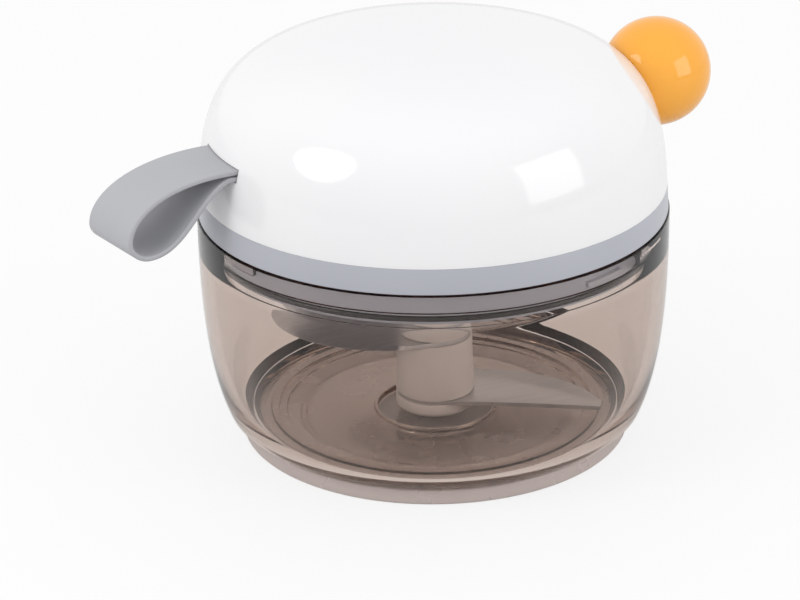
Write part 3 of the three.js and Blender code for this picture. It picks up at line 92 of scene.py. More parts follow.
# Bowl
BOWL_RADIUS = 55.3
BOWL_HEIGHT = 55.4
SHOULDER_HEIGHT = 46
HEEL_RADIUS = 49.7
HEEL_HEIGHT = 5.7
HEEL_ROUND = 0.8
FOOT_WALL = 6.3
OUTER_SIDE_SHARES = ((0.6, 0.2), (0.95, 0.5))
INNER_SIDE_SHARES = ((0.7, 0.085), (0.967, 0.46))
NECK_RADIUS = 44.4
BOWL_UNDERSIDE = 1.8
FLOOR_TOP = 3.9
FLOOR_EDGE_INSET = 3
FLOOR_STEP = 0.3
WALL_FOOT_HEIGHT = 5
RIB_RADIUS = 39.9
RIB_WIDTH = 2
RIB_HEIGHT = 0.7
INNER_FLOOR_INSET = 2.1
CORNER_NEAR_SHARE = 0.25
CORNER_FAR_SHARE = 0.55
RECESS_RADIUS = 13.9
RECESS_DEPTH = 1.2
RECESS_BEAD_WIDTH = 0.8
RECESS_BEAD_HEIGHT = 0.5
PIN_BOSS_RADIUS = 4.2
PIN_BOSS_HEIGHT = 1.4
PIN_HOLE_RADIUS = 2.6
PIN_SEAT_DEPTH = 1.7

# Bowl rim and bayonet
RIM_BORE_RADIUS = 53
SEAL_BORE_RADIUS = 52.7
SEAL_BORE_DEPTH = 4.4
SEAL_BORE_SLOPE = 0.4
LEDGE_DEPTH = 8.1
LEDGE_WIDTH = 0.4
LUG_OUTER_RADIUS = 54.4
LUG_TOP = 54.2
LUG_HEIGHT = 1.6
TAB_HEIGHT = 1.1
BAYONET_COUNT = 3
BAYONET_WIDTH_ANGLE = 12
BAYONET_ANGLE = -166.7
LID_TURN_ANGLE = 20

# Non-slip base
PAD_RADIUS = 46.3
PAD_BORE_RADIUS = 44.7
PAD_HEIGHT = 3.7
PAD_FLOOR = 1.5
PAD_GROOVE_RADIUS = 32
PAD_GROOVE_WIDTH = 1.6
PAD_GROOVE_DEPTH = 0.5

# Blade stack
STACK_BOTTOM = 4.4
STACK_LENGTH = 38.1
BLADE_ANGLE = -21.7
STEM_FOOT_RADIUS = 9.4
STEM_TOP_RADIUS = 9
STEM_BORE_RADIUS = 2.6
FOOT_CAP_HEIGHT = 3.2
FOOT_CAP_ROUND = 1.2
SPIGOT_RADIUS = 4.6
SPIGOT_LENGTH = 2.6
BLADE_PITCH_SHARE = 0.399
BLADE_PITCH = BLADE_PITCH_SHARE * STACK_LENGTH
BLADE_THICKNESS = 1
BLADE_HUB_RADIUS = 8.8
BLADE_REACH = 39.8
BLADE_SWEEP = 10.4
BLADE_TIP_WIDTH = 3.6
BLADE_TIP_SLANT_SHARE = 0.25
BLADE_BACK_SHARES = ((0.345, 1.62), (0.9, 0.85))
BLADE_FRONT_SHARES = (0.59, 1.17)
BLADE_BACK_STEPS = 40
BLADE_FRONT_STEPS = 24
BLADE_ROOT_STEPS = 32
BLADE_HOLE_STEPS = 48
BLADE_GRIND_START = 6
BLADE_GRIND_EASE = 4
BLADE_GRIND_WIDTH = 1.6
BLADE_EDGE = 0.12
BLADE_UNDERSIDE_SHARE = 0.999
SOCKET_SHARE = 0.5
SOCKET_FLOOR = 1.6
SOCKET_RADIUS = 5.36
SOCKET_CORE_RADIUS = 3.54
SOCKET_FREE_ANGLE = 40.9
SOCKET_STEPS = 16
SOCKET_CORE_STEPS = 8

# Lid base and seal, with heights from the lid's seat. The seat's own height starts at the ground.
LID_SEAT = 55.8
SKIRT_RADIUS = 52
SKIRT_WALL = 1.9
SKIRT_DEPTH = 7.9
PLATE_TOP_DROP = 2.4
PLATE_THICKNESS = 2.6
SEAL_RADIUS = 52.5
SEAL_HEIGHT = 1.1
SEAL_FILLET = 0.45
SEAL_LIP = 0.7
SEAL_GROOVE_DEPTH = 1.2
SEAL_SEAT_GAP = 0.2
RING_RADIUS = 55
RING_TOP_RADIUS = 54.65
RING_HEIGHT = 5.9
RING_WALL = 2.7
RING_FLOOR = 1.2
SNAP_BEAD = 0.4
SNAP_WIDTH = 1.4
SNAP_DEPTH = 1.6
HUB_RADIUS = 8.5
HUB_BORE_RADIUS = 4.5
HUB_DROP = 11.3
HUB_RISE = 1.5
POST_CIRCLE_RADIUS = 30
POST_RADIUS = 3.6
POST_BORE_RADIUS = 1.4
POST_TOP = 27.55
POST_COUNT = 3
POST_ANGLE = 60

# Dome cover
DOME_HEIGHT = 40.5
DOME_WALL = 2.2
DOME_PARTING_GAP = 0.04
CROWN_SIDE_SHARES = (0.977, 0.87)
CROWN_TOP_SHARE = 0.77
CROWN_STEPS = 48
DOME_SPIGOT_WALL = 1.6
DOME_SPIGOT_LENGTH = 4.2

# Pull ball and cord
BALL_CENTRE = 57.75
BALL_RADIUS = 12.95
BALL_STEPS = 96
PULL_HEIGHT = 24.1
CUP_WALL = 2
GUIDE_HOLE_RADIUS = 3.1
CORD_RADIUS = 0.9
BALL_BORE_RADIUS = 1.2
BALL_POCKET_RADIUS = 4.2
BALL_POCKET_START = 1
PLUG_THICKNESS = 2.4
WINDING_RADIUS = 14.5
LEAD_CORNER = 38.9
LEAD_END = 58.75
LEAD_BEND = 1.2
LEAD_SIDES = 16
LEAD_LEAVE_STEPS = 12
LEAD_BEND_STEPS = 8
LEAD_STEPS = 90

# Finger strap, which hangs a little askew: its back edge reaches further
STRAP_ANGLE = 2.5
STRAP_WIDTH = 18.4
STRAP_THICKNESS = 1.25
STRAP_EDGE = 0.42
STRAP_EDGE_STEPS = 4
STRAP_SKIN_GAP = 0.02
STRAP_SLOT_HEIGHT = 18.7
STRAP_PLY_GAP = 0.3
STRAP_SLOT_GAP = 0.2
STRAP_REACH = 23.9
STRAP_DROP = 16.7
STRAP_BACK_REACH = 2.9
STRAP_BACK_DROP = 0.6
STRAP_MOUTH = 54
STRAP_NECK = 49
ANCHOR_PLACE = 46.4
ANCHOR_RADIUS = 1.5
ANCHOR_EAR_THICKNESS = 2
ANCHOR_EAR_RADIUS = 3
WRAP_ANGLE = 142
STRAP_UPPER_SHARES = (0.68, 0.41)
STRAP_FAR_SHARE = 0.77
STRAP_LOW_SHARE = 0.82
STRAP_TIP_SHARE = 0.5
STRAP_LOWER_SHARES = (0.45, 0.3, 0.245)
STRAP_CURVE_STEPS = 36
STRAP_TURN_STEPS = 24

# Smoked plastic: tints of faces and gloss, heights where painted light makes the rim's tint paler, the
# recess's painted shade, and depth's density per metre
SMOKE_TINT = (0.883, 0.852, 0.834)
# The rim's paler tint is painted light: it lightens the lid's skirt seen through the rim, which stands in
# shade under the ring.
RIM_PAINTED_LIGHT_TINT = (0.99, 0.99, 1)
RIM_PAINTED_LIGHT_START = 46
RIM_PAINTED_LIGHT_END = 47.5
# The recess's darker tint is painted shade.
RECESS_PAINTED_SHADE_TINT = (0.6, 0.6, 0.6)
SMOKE_GLOSS_TINT = (0.4, 0.4, 0.4)
SMOKE_DEPTH_COLOUR = (0.5, 0.317, 0.2)
SMOKE_DENSITY = 120

# Soft foot
FOOT_FLOOR_COLOUR = (0.86, 0.77, 0.73)
FOOT_RIM_COLOUR = (0.66, 0.565, 0.535)
FOOT_FLOOR_CLARITY = 0.75
FOOT_RIM_CLARITY = 0.2

# Surface noise. Its detail is in octaves, and a colour goes over between two shares of its range.
NOISE_DETAIL = 3
BUMP_DETAIL = 4
BUMP_DEPTH = 0.1
COLOUR_START_SHARE = 0.3
COLOUR_END_SHARE = 0.7

# Braid of the cord, with its waves per metre
BRAID_WAVES = 420
BRAID_ANGLE = 45
BRAID_DEPTH = 0.2

# Light, where a level of 1 is white
LIGHT_LEVEL = 0.86
BACKDROP_LEVEL = 1
INSIDE_LEVEL = 1.8
WALL_BOUNCES = 24

# Floor, with its half width in metres
FLOOR_HALF_WIDTH = 3
FLOOR_DROP = 0.2
FLOOR_COLOUR = 0.9
FLOOR_BOUNCE_COLOUR = 0.55
FLOOR_GLOW_SHARE = 0.8

# Lamps: directions in the camera's frame (right, away, up), and power in watts
LEFT_LAMP_DIRECTION = (-0.75, -0.43, 0.5)
LEFT_LAMP_POWER = 2
RIGHT_LAMP_DIRECTION = (0.82, -0.48, 0.3)
RIGHT_LAMP_POWER = 1.8
LAMP_DISTANCE = 900
LAMP_SIZE = 500
LAMP_AIM_HEIGHT = 60


# Mesh helpers

def put(name, data):
    """Puts a mesh, lamp or camera into the scene."""
    thing = bpy.data.objects.new(name, data)
    bpy.context.scene.collection.objects.link(thing)
    return thing


def bend(start, start_pull, end_pull, end, steps=CURVE_STEPS):
    """Points of a cubic curve, each a pair."""
    points = []
    for i in range(steps + 1):
        t = i / steps
        weights = ((1 - t) ** 3, 3 * t * (1 - t) ** 2, 3 * t * t * (1 - t), t ** 3)
        corners = (start, start_pull, end_pull, end)
        points.append(tuple(sum(w * c[axis] for w, c in zip(weights, corners)) for axis in (0, 1)))
    return points


def corner_curve(start, corner, end, steps):
    """Points of a curve that rounds off a corner."""
    points = []
    for i in range(steps + 1):
        t = i / steps
        points.append(start * (1 - t) ** 2 + corner * 2 * t * (1 - t) + end * t * t)
    return points


def soften(points, radius=FILLET, closed=True):
    """Rounds each sharp corner of an outline by a small arc. A third value on a point sets its radius."""
    rounded = []
    count = len(points)
    for i, point in enumerate(points):
        here = Vector(point[:2])
        own = point[2] if len(point) > 2 else radius
        if not closed and i in (0, count - 1):
            rounded.append(tuple(here))
            continue
        before = Vector(points[i - 1][:2]) - here
        after = Vector(points[(i + 1) % count][:2]) - here
        inner = before.angle(after, math.pi) if before.length and after.length else math.pi
        bend_angle = math.pi - inner
        if own == 0 or math.degrees(bend_angle) < FILLET_LEAST_TURN:
            rounded.append(tuple(here))
            continue
        room = FILLET_MOST_SHARE * min(before.length, after.length)
        reach = min(own * math.tan(bend_angle / 2), room)
        start = here + before.normalized() * reach
        end = here + after.normalized() * reach
        rounded += [tuple(spot) for spot in corner_curve(start, here, end, FILLET_STEPS)]
    return rounded


def finish_mesh(name, body, mesh, material, replaced=()):
    """Makes the piece that shows a mesh, ties it to its body and hides the nodes that it stands in for."""
    piece = put(name, mesh)
    shade(mesh)
    mesh.materials.clear()
    mesh.materials.append(material)
    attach(piece, body)
    if replaced:
        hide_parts(*replaced)
    return piece


def shade(mesh):
    mesh.polygons.foreach_set("use_smooth", [True] * len(mesh.polygons))
    mesh.set_sharp_from_angle(angle=math.radians(SHARP_ANGLE))
    mesh.update()


def mesh_from(points, faces):
    """A closed mesh from points in millimetres, welded and facing outward."""
    mesh = bpy.data.meshes.new("made")
    mesh.from_pydata([tuple(axis * MM for axis in point) for point in points], [], faces)
    shape = bmesh.new()
    shape.from_mesh(mesh)
    bmesh.ops.remove_doubles(shape, verts=shape.verts, dist=WELD_LENGTH)
    bmesh.ops.dissolve_degenerate(shape, edges=shape.edges, dist=LEAST_EDGE_LENGTH)
    bmesh.ops.recalc_face_normals(shape, faces=shape.faces)
    shape.to_mesh(mesh)
    shape.free()
    return mesh


def revolve(profile, steps=ROUND_STEPS):
    """Turns (radius, height) pairs about Z. The profile closes on itself or on the axis."""
    points, faces = [], []
    count = len(profile)
    on_axis = profile[0][0] == 0
    for step in range(steps):
        angle = 2 * math.pi * step / steps
        turned = (math.cos(angle), math.sin(angle))
        points += [(r * turned[0], r * turned[1], z) for r, z, *_ in profile]
    for step in range(steps):
        here, there = step * count, (step + 1) % steps * count
        for i in range(count - 1 if on_axis else count):
            j = (i + 1) % count
            face = [here + i, here + j, there + j, there + i]
            if profile[i][0] == 0:
                face = [here + i, here + j, there + j]
            elif profile[j][0] == 0:
                face = [here + i, here + j, there + i]
            faces.append(face)
    return mesh_from(points, faces)


def prism(outline, bottom, top):
    """Raises a flat outline of pairs."""
    count = len(outline)
    points = [(x, y, bottom) for x, y, *_ in outline] + [(x, y, top) for x, y, *_ in outline]
    faces = [list(range(count)), list(range(count, 2 * count))]
    for i in range(count):
        j = (i + 1) % count
        faces.append([i, j, count + j, count + i])
    return mesh_from(points, faces)


def moved(mesh, matrix):
    mesh.transform(matrix)
    return mesh


def at(x=0, y=0, z=0):
    return Matrix.Translation(Vector((x, y, z)) * MM)


def about(angle, axis):
    return Matrix.Rotation(math.radians(angle), 4, axis)


def combine(mesh, steps):
    """Joins, cuts or trims a mesh with others, in turn. Each step is an operation and a mesh."""
    base = put("base", mesh)
    for operation, other_mesh in steps:
        other = put("other", other_mesh)
        modifier = base.modifiers.new("combine", "BOOLEAN")
        modifier.operation = operation
        modifier.object = other
        modifier.solver = "EXACT"
        evaluated = base.evaluated_get(bpy.context.evaluated_depsgraph_get())
        result = bpy.data.meshes.new_from_object(evaluated)
        base.modifiers.clear()
        base.data = result
        bpy.data.objects.remove(other)
    result = base.data
    bpy.data.objects.remove(base)
    return result


def arc(radius, start, end, steps):
    """Points on an arc between two angles in degrees."""
    angles = [math.radians(start + (end - start) * i / steps) for i in range(steps + 1)]
    return [(radius * math.cos(a), radius * math.sin(a)) for a in angles]


def ring_block(inner, outer, bottom, top, middle, width):
    outline = arc(outer, middle - width / 2, middle + width / 2, BLOCK_STEPS)
    outline += arc(inner, middle + width / 2, middle - width / 2, BLOCK_STEPS)
    return prism(outline, bottom, top)


def rectangle(left, right, near, far):
    return [(left, near), (right, near), (right, far), (left, far)]


def spread_angles(count, start_angle):
    """Angles spread evenly round a circle."""
    return [start_angle + 360 / count * i for i in range(count)]


# Material helpers

def new_material(name, **values):
    """A material with a Principled shader whose sockets take the given values."""
    material = bpy.data.materials.new(name)
    material.use_nodes = True
    set_inputs(shader_of(material), values)
    return material


def shader_of(material):
    return material.node_tree.nodes["Principled BSDF"]


def set_inputs(node, values):
    for socket, value in values.items():
        node.inputs[socket.replace("_", " ")].default_value = value


def add_node(material, kind, operation=None, **values):
    node = material.node_tree.nodes.new(kind)
    if operation:
        node.operation = operation
    set_inputs(node, values)
    return node


def link(material, start, start_socket, end, end_socket):
    """Links two nodes. A socket is given by its name, or by its place where a name says too little."""
    material.node_tree.links.new(start.outputs[start_socket], end.inputs[end_socket])


def colour_ramp(material, first, second):
    ramp = add_node(material, "ShaderNodeValToRGB")
    for stop, colour in zip(ramp.color_ramp.elements, (first, second)):
        stop.color = (*colour, 1)
    return ramp


def object_noise(material, scale, detail=NOISE_DETAIL, stretch=None):
    """Noise in object space, so that it stays on the piece. Its scale is per metre."""
    places = add_node(material, "ShaderNodeTexCoord")
    noise = add_node(material, "ShaderNodeTexNoise", Scale=scale, Detail=detail)
    if stretch:
        mapping = add_node(material, "ShaderNodeMapping", Scale=stretch)
        link(material, places, "Object", mapping, "Vector")
        link(material, mapping, "Vector", noise, "Vector")
    else:
        link(material, places, "Object", noise, "Vector")
    return noise


def vary_roughness(material, low, high, scale, stretch=None):
    noise = object_noise(material, scale, stretch=stretch)
    spread = add_node(material, "ShaderNodeMapRange", To_Min=low, To_Max=high)
    link(material, noise, "Fac", spread, "Value")
    link(material, spread, "Result", shader_of(material), "Roughness")


def vary_colour(material, first, second, scale, stretch=None):
    noise = object_noise(material, scale, stretch=stretch)
    ramp = colour_ramp(material, first, second)
    ramp.color_ramp.elements[0].position = COLOUR_START_SHARE
    ramp.color_ramp.elements[1].position = COLOUR_END_SHARE
    link(material, noise, "Fac", ramp, "Fac")
    link(material, ramp, "Color", shader_of(material), "Base Color")


def add_bump(material, scale, strength, depth=BUMP_DEPTH, stretch=None):
    noise = object_noise(material, scale, BUMP_DETAIL, stretch)
    bump = add_node(material, "ShaderNodeBump", Strength=strength, Distance=depth * MM)
    link(material, noise, "Fac", bump, "Height")
    link(material, bump, "Normal", shader_of(material), "Normal")


def blend_by_place(material, axes, start, end, first, second):
    """A colour that goes from one to another as a place's distance along the given axes grows."""
    places = add_node(material, "ShaderNodeTexCoord")
    flat = add_node(material, "ShaderNodeVectorMath", "MULTIPLY")
    flat.inputs[1].default_value = axes
    link(material, places, "Object", flat, 0)
    length = add_node(material, "ShaderNodeVectorMath", "LENGTH")
    link(material, flat, "Vector", length, 0)
    share = add_node(material, "ShaderNodeMapRange", From_Min=start * MM, From_Max=end * MM)
    link(material, length, "Value", share, "Value")
    ramp = colour_ramp(material, first, second)
    link(material, share, "Result", ramp, "Fac")
    return ramp


def smoked_clear():
    """Clear plastic, smoked in its depth and at its faces, with painted light that makes the rim paler and
    painted shade that makes the recess darker.
    """
    gloss_tint = (*SMOKE_GLOSS_TINT, 1)
    material = new_material("smoked_clear", IOR=1.5, Transmission_Weight=1, Specular_Tint=gloss_tint)
    # Painted light: the bowl's tint turns paler above the rim's heights.
    rim_painted_light = blend_by_place(material, (0, 0, 1), RIM_PAINTED_LIGHT_START, RIM_PAINTED_LIGHT_END, SMOKE_TINT, RIM_PAINTED_LIGHT_TINT)
    # Painted shade: the tint turns darker inside the recess.
    recess_edge = RECESS_RADIUS - FILLET
    recess_painted_shade = blend_by_place(material, (1, 1, 0), recess_edge, RECESS_RADIUS, RECESS_PAINTED_SHADE_TINT, (1, 1, 1))
    tint = add_node(material, "ShaderNodeVectorMath", "MULTIPLY")
    link(material, rim_painted_light, "Color", tint, 0)
    link(material, recess_painted_shade, "Color", tint, 1)
    link(material, tint, "Vector", shader_of(material), "Base Color")
    vary_roughness(material, low=0.0, high=0.02, scale=90)
    depth_colour = (*SMOKE_DEPTH_COLOUR, 1)
    depth = add_node(material, "ShaderNodeVolumeAbsorption", Color=depth_colour, Density=SMOKE_DENSITY)
    link(material, depth, "Volume", material.node_tree.nodes["Material Output"], "Volume")
    return material


def glossy_white():
    material = new_material("glossy_white", IOR=1.5)
    vary_colour(material, first=(0.87, 0.87, 0.885), second=(0.9, 0.895, 0.9), scale=14)
    vary_roughness(material, low=0.05, high=0.12, scale=40)
    add_bump(material, scale=260, strength=0.03)
    return material


def grey_shell():
    material = new_material("grey_shell", IOR=1.5)
    vary_colour(material, first=(0.43, 0.44, 0.49), second=(0.46, 0.47, 0.52), scale=18)
    vary_roughness(material, low=0.25, high=0.36, scale=70)
    add_bump(material, scale=900, strength=0.06)
    return material


def grey_silicone():
    material = new_material("grey_silicone", IOR=1.41)
    vary_colour(material, first=(0.42, 0.425, 0.45), second=(0.46, 0.465, 0.49), scale=22)
    vary_roughness(material, low=0.42, high=0.58, scale=60)
    add_bump(material, scale=1400, strength=0.12)
    return material


def dark_rubber():
    material = new_material("dark_rubber", IOR=1.45)
    vary_colour(material, first=(0.018, 0.016, 0.017), second=(0.028, 0.026, 0.027), scale=40)
    vary_roughness(material, low=0.12, high=0.2, scale=90)
    add_bump(material, scale=1500, strength=0.05)
    return material


def foot_silicone():
    """Soft rubber, clear in its thin floor and cloudy in its thick rim."""
    material = new_material("foot_silicone", IOR=1.43)
    shader = shader_of(material)
    rim_start, rim_end = PAD_BORE_RADIUS - FILLET, PAD_BORE_RADIUS
    clear, cloudy = (FOOT_FLOOR_CLARITY,) * 3, (FOOT_RIM_CLARITY,) * 3
    clarity = blend_by_place(material, (1, 1, 0), rim_start, rim_end, clear, cloudy)
    link(material, clarity, "Color", shader, "Transmission Weight")
    colour = blend_by_place(material, (1, 1, 0), rim_start, rim_end, FOOT_FLOOR_COLOUR, FOOT_RIM_COLOUR)
    link(material, colour, "Color", shader, "Base Color")
    vary_roughness(material, low=0.22, high=0.34, scale=80)
    add_bump(material, scale=700, strength=0.08)
    return material


def orange_gloss():
    material = new_material("orange_gloss", IOR=1.5)
    vary_colour(material, first=(0.95, 0.4, 0.03), second=(0.98, 0.44, 0.05), scale=30)
    vary_roughness(material, low=0.06, high=0.12, scale=80)
    add_bump(material, scale=600, strength=0.03)
    return material


def stem_plastic():
    material = new_material("stem_plastic", IOR=1.47)
    vary_colour(material, first=(0.84, 0.81, 0.79), second=(0.88, 0.85, 0.83), scale=60)
    vary_roughness(material, low=0.32, high=0.45, scale=120)
    add_bump(material, scale=1100, strength=0.1)
    return material


def blade_steel():
    """Steel with fine grinding lines across the blade."""
    material = new_material("blade_steel", Metallic=1)
    lines = (30, 900, 30)
    vary_colour(material, first=(0.58, 0.58, 0.60), second=(0.70, 0.70, 0.71), scale=2, stretch=lines)
    vary_roughness(material, low=0.24, high=0.42, scale=2, stretch=lines)
    add_bump(material, scale=2, strength=0.12, depth=0.05, stretch=lines)
    return material


def turned_steel():
    material = new_material("turned_steel", Metallic=1)
    rings = (60, 60, 1800)
    vary_colour(material, first=(0.46, 0.46, 0.48), second=(0.56, 0.56, 0.57), scale=2, stretch=rings)
    vary_roughness(material, low=0.22, high=0.38, scale=2, stretch=rings)
    add_bump(material, scale=2, strength=0.1, depth=0.04, stretch=rings)
    return material


def sintered_bronze():
    material = new_material("sintered_bronze", Metallic=1)
    vary_colour(material, first=(0.36, 0.23, 0.10), second=(0.50, 0.34, 0.17), scale=900)
    vary_roughness(material, low=0.35, high=0.6, scale=900)
    add_bump(material, scale=1600, strength=0.25)
    return material


def inner_plastic(name, first, second):
    material = new_material(name, IOR=1.47)
    vary_colour(material, first, second, scale=50)
    vary_roughness(material, low=0.38, high=0.52, scale=110)
    add_bump(material, scale=1200, strength=0.1)
    return material


def braided_cord():
    """White cord with the crossed strands of a braid, and painted shade in the grooves between them."""
    material = new_material("braided_cord", Roughness=0.8, Sheen_Weight=0.3)
    places = add_node(material, "ShaderNodeTexCoord")
    strands = add_node(material, "ShaderNodeMath", "MAXIMUM")
    slant = (0, 0, math.radians(BRAID_ANGLE))
    for i, tilt in enumerate((1, -1)):
        mapping = add_node(material, "ShaderNodeMapping", Scale=(1, tilt, 1), Rotation=slant)
        wave = add_node(material, "ShaderNodeTexWave", Scale=BRAID_WAVES)
        link(material, places, "Object", mapping, "Vector")
        link(material, mapping, "Vector", wave, "Vector")
        link(material, wave, "Fac", strands, i)
    # Painted shade: the cord is darker between its strands.
    ramp = colour_ramp(material, first=(0.52, 0.5, 0.47), second=(0.86, 0.84, 0.8))
    bump = add_node(material, "ShaderNodeBump", Strength=0.5, Distance=BRAID_DEPTH * MM)
    link(material, strands, "Value", ramp, "Fac")
    link(material, ramp, "Color", shader_of(material), "Base Color")
    link(material, strands, "Value", bump, "Height")
    link(material, bump, "Normal", shader_of(material), "Normal")
    return material


# Pieces of the bowl

def bowl_side(foot_radius, foot_height, top_radius, shares):
    """The bowl's side, inside or outside, from its foot up to the shoulder."""
    flare = top_radius - foot_radius
    rise = SHOULDER_HEIGHT - foot_height
    pulls = [(foot_radius + out * flare, foot_height + up * rise) for out, up in shares]
    return bend((foot_radius, foot_height), *pulls, (top_radius, SHOULDER_HEIGHT))


def bayonet_steps(inner_radius, outer_radius, bottom, height, start_angle):
    blocks = (
        ring_block(inner_radius, outer_radius, bottom, bottom + height, angle, BAYONET_WIDTH_ANGLE)
        for angle in spread_angles(BAYONET_COUNT, start_angle)
    )
    return [("UNION", block) for block in blocks]


def bowl_mesh():
    inner_top = SEAL_BORE_RADIUS - LEDGE_WIDTH
    inner_foot = HEEL_RADIUS - FOOT_WALL
    floor_edge = NECK_RADIUS - FLOOR_EDGE_INSET
    width = inner_foot - floor_edge
    rise = WALL_FOOT_HEIGHT - FLOOR_TOP
    corner = bend(
        (inner_foot, WALL_FOOT_HEIGHT),
        (inner_foot - CORNER_NEAR_SHARE * width, WALL_FOOT_HEIGHT - CORNER_FAR_SHARE * rise),
        (floor_edge + CORNER_NEAR_SHARE * width, FLOOR_TOP + CORNER_NEAR_SHARE * rise),
        (floor_edge, FLOOR_TOP),
        CORNER_STEPS,
    )
    rib_inner = RIB_RADIUS - RIB_WIDTH
    inner_floor = rib_inner - INNER_FLOOR_INSET
    recess_floor = FLOOR_TOP - RECESS_DEPTH
    bead_outer = RECESS_RADIUS + RECESS_BEAD_WIDTH
    bead_top = FLOOR_TOP - FLOOR_STEP + RECESS_BEAD_HEIGHT
    boss_top = recess_floor + PIN_BOSS_HEIGHT
    profile = [
        (0, BOWL_UNDERSIDE),
        (NECK_RADIUS, BOWL_UNDERSIDE),
        (NECK_RADIUS, HEEL_HEIGHT),
        (HEEL_RADIUS - HEEL_ROUND, HEEL_HEIGHT, RIM_FILLET),
        *bowl_side(HEEL_RADIUS, HEEL_HEIGHT + HEEL_ROUND, BOWL_RADIUS, OUTER_SIDE_SHARES),
        (BOWL_RADIUS, BOWL_HEIGHT, FILLET),
        (RIM_BORE_RADIUS, BOWL_HEIGHT, RIM_FILLET),
        (RIM_BORE_RADIUS, BOWL_HEIGHT - SEAL_BORE_DEPTH),
        (SEAL_BORE_RADIUS, BOWL_HEIGHT - SEAL_BORE_DEPTH - SEAL_BORE_SLOPE),
        (SEAL_BORE_RADIUS, BOWL_HEIGHT - LEDGE_DEPTH),
        (inner_top, BOWL_HEIGHT - LEDGE_DEPTH),
        *bowl_side(inner_foot, WALL_FOOT_HEIGHT, inner_top, INNER_SIDE_SHARES)[::-1],
        *corner[1:],
        (RIB_RADIUS, FLOOR_TOP),
        (RIB_RADIUS, FLOOR_TOP + RIB_HEIGHT),
        (rib_inner, FLOOR_TOP + RIB_HEIGHT),
        (rib_inner, FLOOR_TOP),
        (inner_floor + FLOOR_STEP, FLOOR_TOP),
        (inner_floor, FLOOR_TOP - FLOOR_STEP),
        (bead_outer, FLOOR_TOP - FLOOR_STEP),
        (bead_outer, bead_top),
        (RECESS_RADIUS, bead_top),
        (RECESS_RADIUS, recess_floor),
        (PIN_BOSS_RADIUS, recess_floor),
        (PIN_BOSS_RADIUS, boss_top),
        (PIN_HOLE_RADIUS, boss_top),
        (PIN_HOLE_RADIUS, boss_top - PIN_SEAT_DEPTH),
        (0, boss_top - PIN_SEAT_DEPTH),
    ]
    body = revolve(soften(profile, closed=False))
    lug_bottom = LUG_TOP - LUG_HEIGHT
    lug_inner = SKIRT_RADIUS + RUNNING_GAP
    return combine(body, bayonet_steps(lug_inner, LUG_OUTER_RADIUS, lug_bottom, LUG_HEIGHT, BAYONET_ANGLE))


def foot_mesh():
    half = PAD_GROOVE_WIDTH / 2
    slant = PAD_GROOVE_DEPTH / 2
    profile = [
        (0, 0),
        (PAD_GROOVE_RADIUS - half, 0),
        (PAD_GROOVE_RADIUS - half + slant, PAD_GROOVE_DEPTH),
        (PAD_GROOVE_RADIUS + half - slant, PAD_GROOVE_DEPTH),
        (PAD_GROOVE_RADIUS + half, 0),
        (PAD_RADIUS, 0, PAD_FILLET),
        (PAD_RADIUS, PAD_HEIGHT, PAD_FILLET),
        (PAD_BORE_RADIUS, PAD_HEIGHT),
        (PAD_BORE_RADIUS, PAD_FLOOR),
        (0, PAD_FLOOR),
    ]
    return revolve(soften(profile, closed=False))


# Blade stack, whose heights start at the foot cap's underside

LOWER_BLADE = FOOT_CAP_HEIGHT + STACK_GAP
LOWER_STEM = LOWER_BLADE + BLADE_THICKNESS + STACK_GAP
UPPER_BLADE = LOWER_BLADE + BLADE_PITCH
UPPER_STEM = LOWER_STEM + BLADE_PITCH
UPPER_STEM_LENGTH = STACK_LENGTH - UPPER_STEM


def stem_piece(foot_radius, top_radius, foot_fillet, length, has_counterbore):
    """A round piece of the stem with a spigot above that passes through the blade on it."""
    spigot_top = length + BLADE_THICKNESS + 2 * STACK_GAP + SPIGOT_LENGTH
    counterbore = SPIGOT_RADIUS + SHAFT_GAP
    depth = SPIGOT_LENGTH + STACK_GAP
    below = [(STEM_BORE_RADIUS, 0)]
    if has_counterbore:
        below = [(STEM_BORE_RADIUS, depth), (counterbore, depth), (counterbore, 0)]
    profile = [
        *below,
        (foot_radius, 0, foot_fillet),
        (top_radius, length),
        (SPIGOT_RADIUS, length),
        (SPIGOT_RADIUS, spigot_top),
        (STEM_BORE_RADIUS, spigot_top),
    ]
    return revolve(soften(profile), SMALL_ROUND_STEPS)


def foot_cap_mesh():
    return stem_piece(STEM_FOOT_RADIUS, STEM_FOOT_RADIUS, FOOT_CAP_ROUND, FOOT_CAP_HEIGHT, False)


def lower_stem_mesh():
    length = BLADE_PITCH - BLADE_THICKNESS - 2 * STACK_GAP
    return stem_piece(STEM_FOOT_RADIUS, STEM_TOP_RADIUS, FILLET, length, True)


def upper_stem_mesh():
    """The top piece of the stem, with the drive socket in its top."""
    socket_bottom = (1 - SOCKET_SHARE) * UPPER_STEM_LENGTH
    counterbore = SPIGOT_RADIUS + SHAFT_GAP
    depth = SPIGOT_LENGTH + STACK_GAP
    profile = [
        (0, socket_bottom - SOCKET_FLOOR),
        (STEM_BORE_RADIUS, socket_bottom - SOCKET_FLOOR),
        (STEM_BORE_RADIUS, depth),
        (counterbore, depth),
        (counterbore, 0),
        (STEM_TOP_RADIUS, 0),
        (STEM_TOP_RADIUS, UPPER_STEM_LENGTH, RIM_FILLET),
        (0, UPPER_STEM_LENGTH),
    ]
    body = revolve(soften(profile, closed=False), SMALL_ROUND_STEPS)
    free = SOCKET_FREE_ANGLE
    outline = []
    for start in (0, 180):
        outline += arc(SOCKET_RADIUS, start - free, start + free, SOCKET_STEPS)
        outline += arc(SOCKET_CORE_RADIUS, start + free, start + 180 - free, SOCKET_CORE_STEPS)
    socket = prism(outline, socket_bottom, UPPER_STEM_LENGTH + CUT_OVERRUN)
    return combine(body, [("DIFFERENCE", moved(socket, about(LID_TURN_ANGLE / 2 - BLADE_ANGLE, "Z")))])


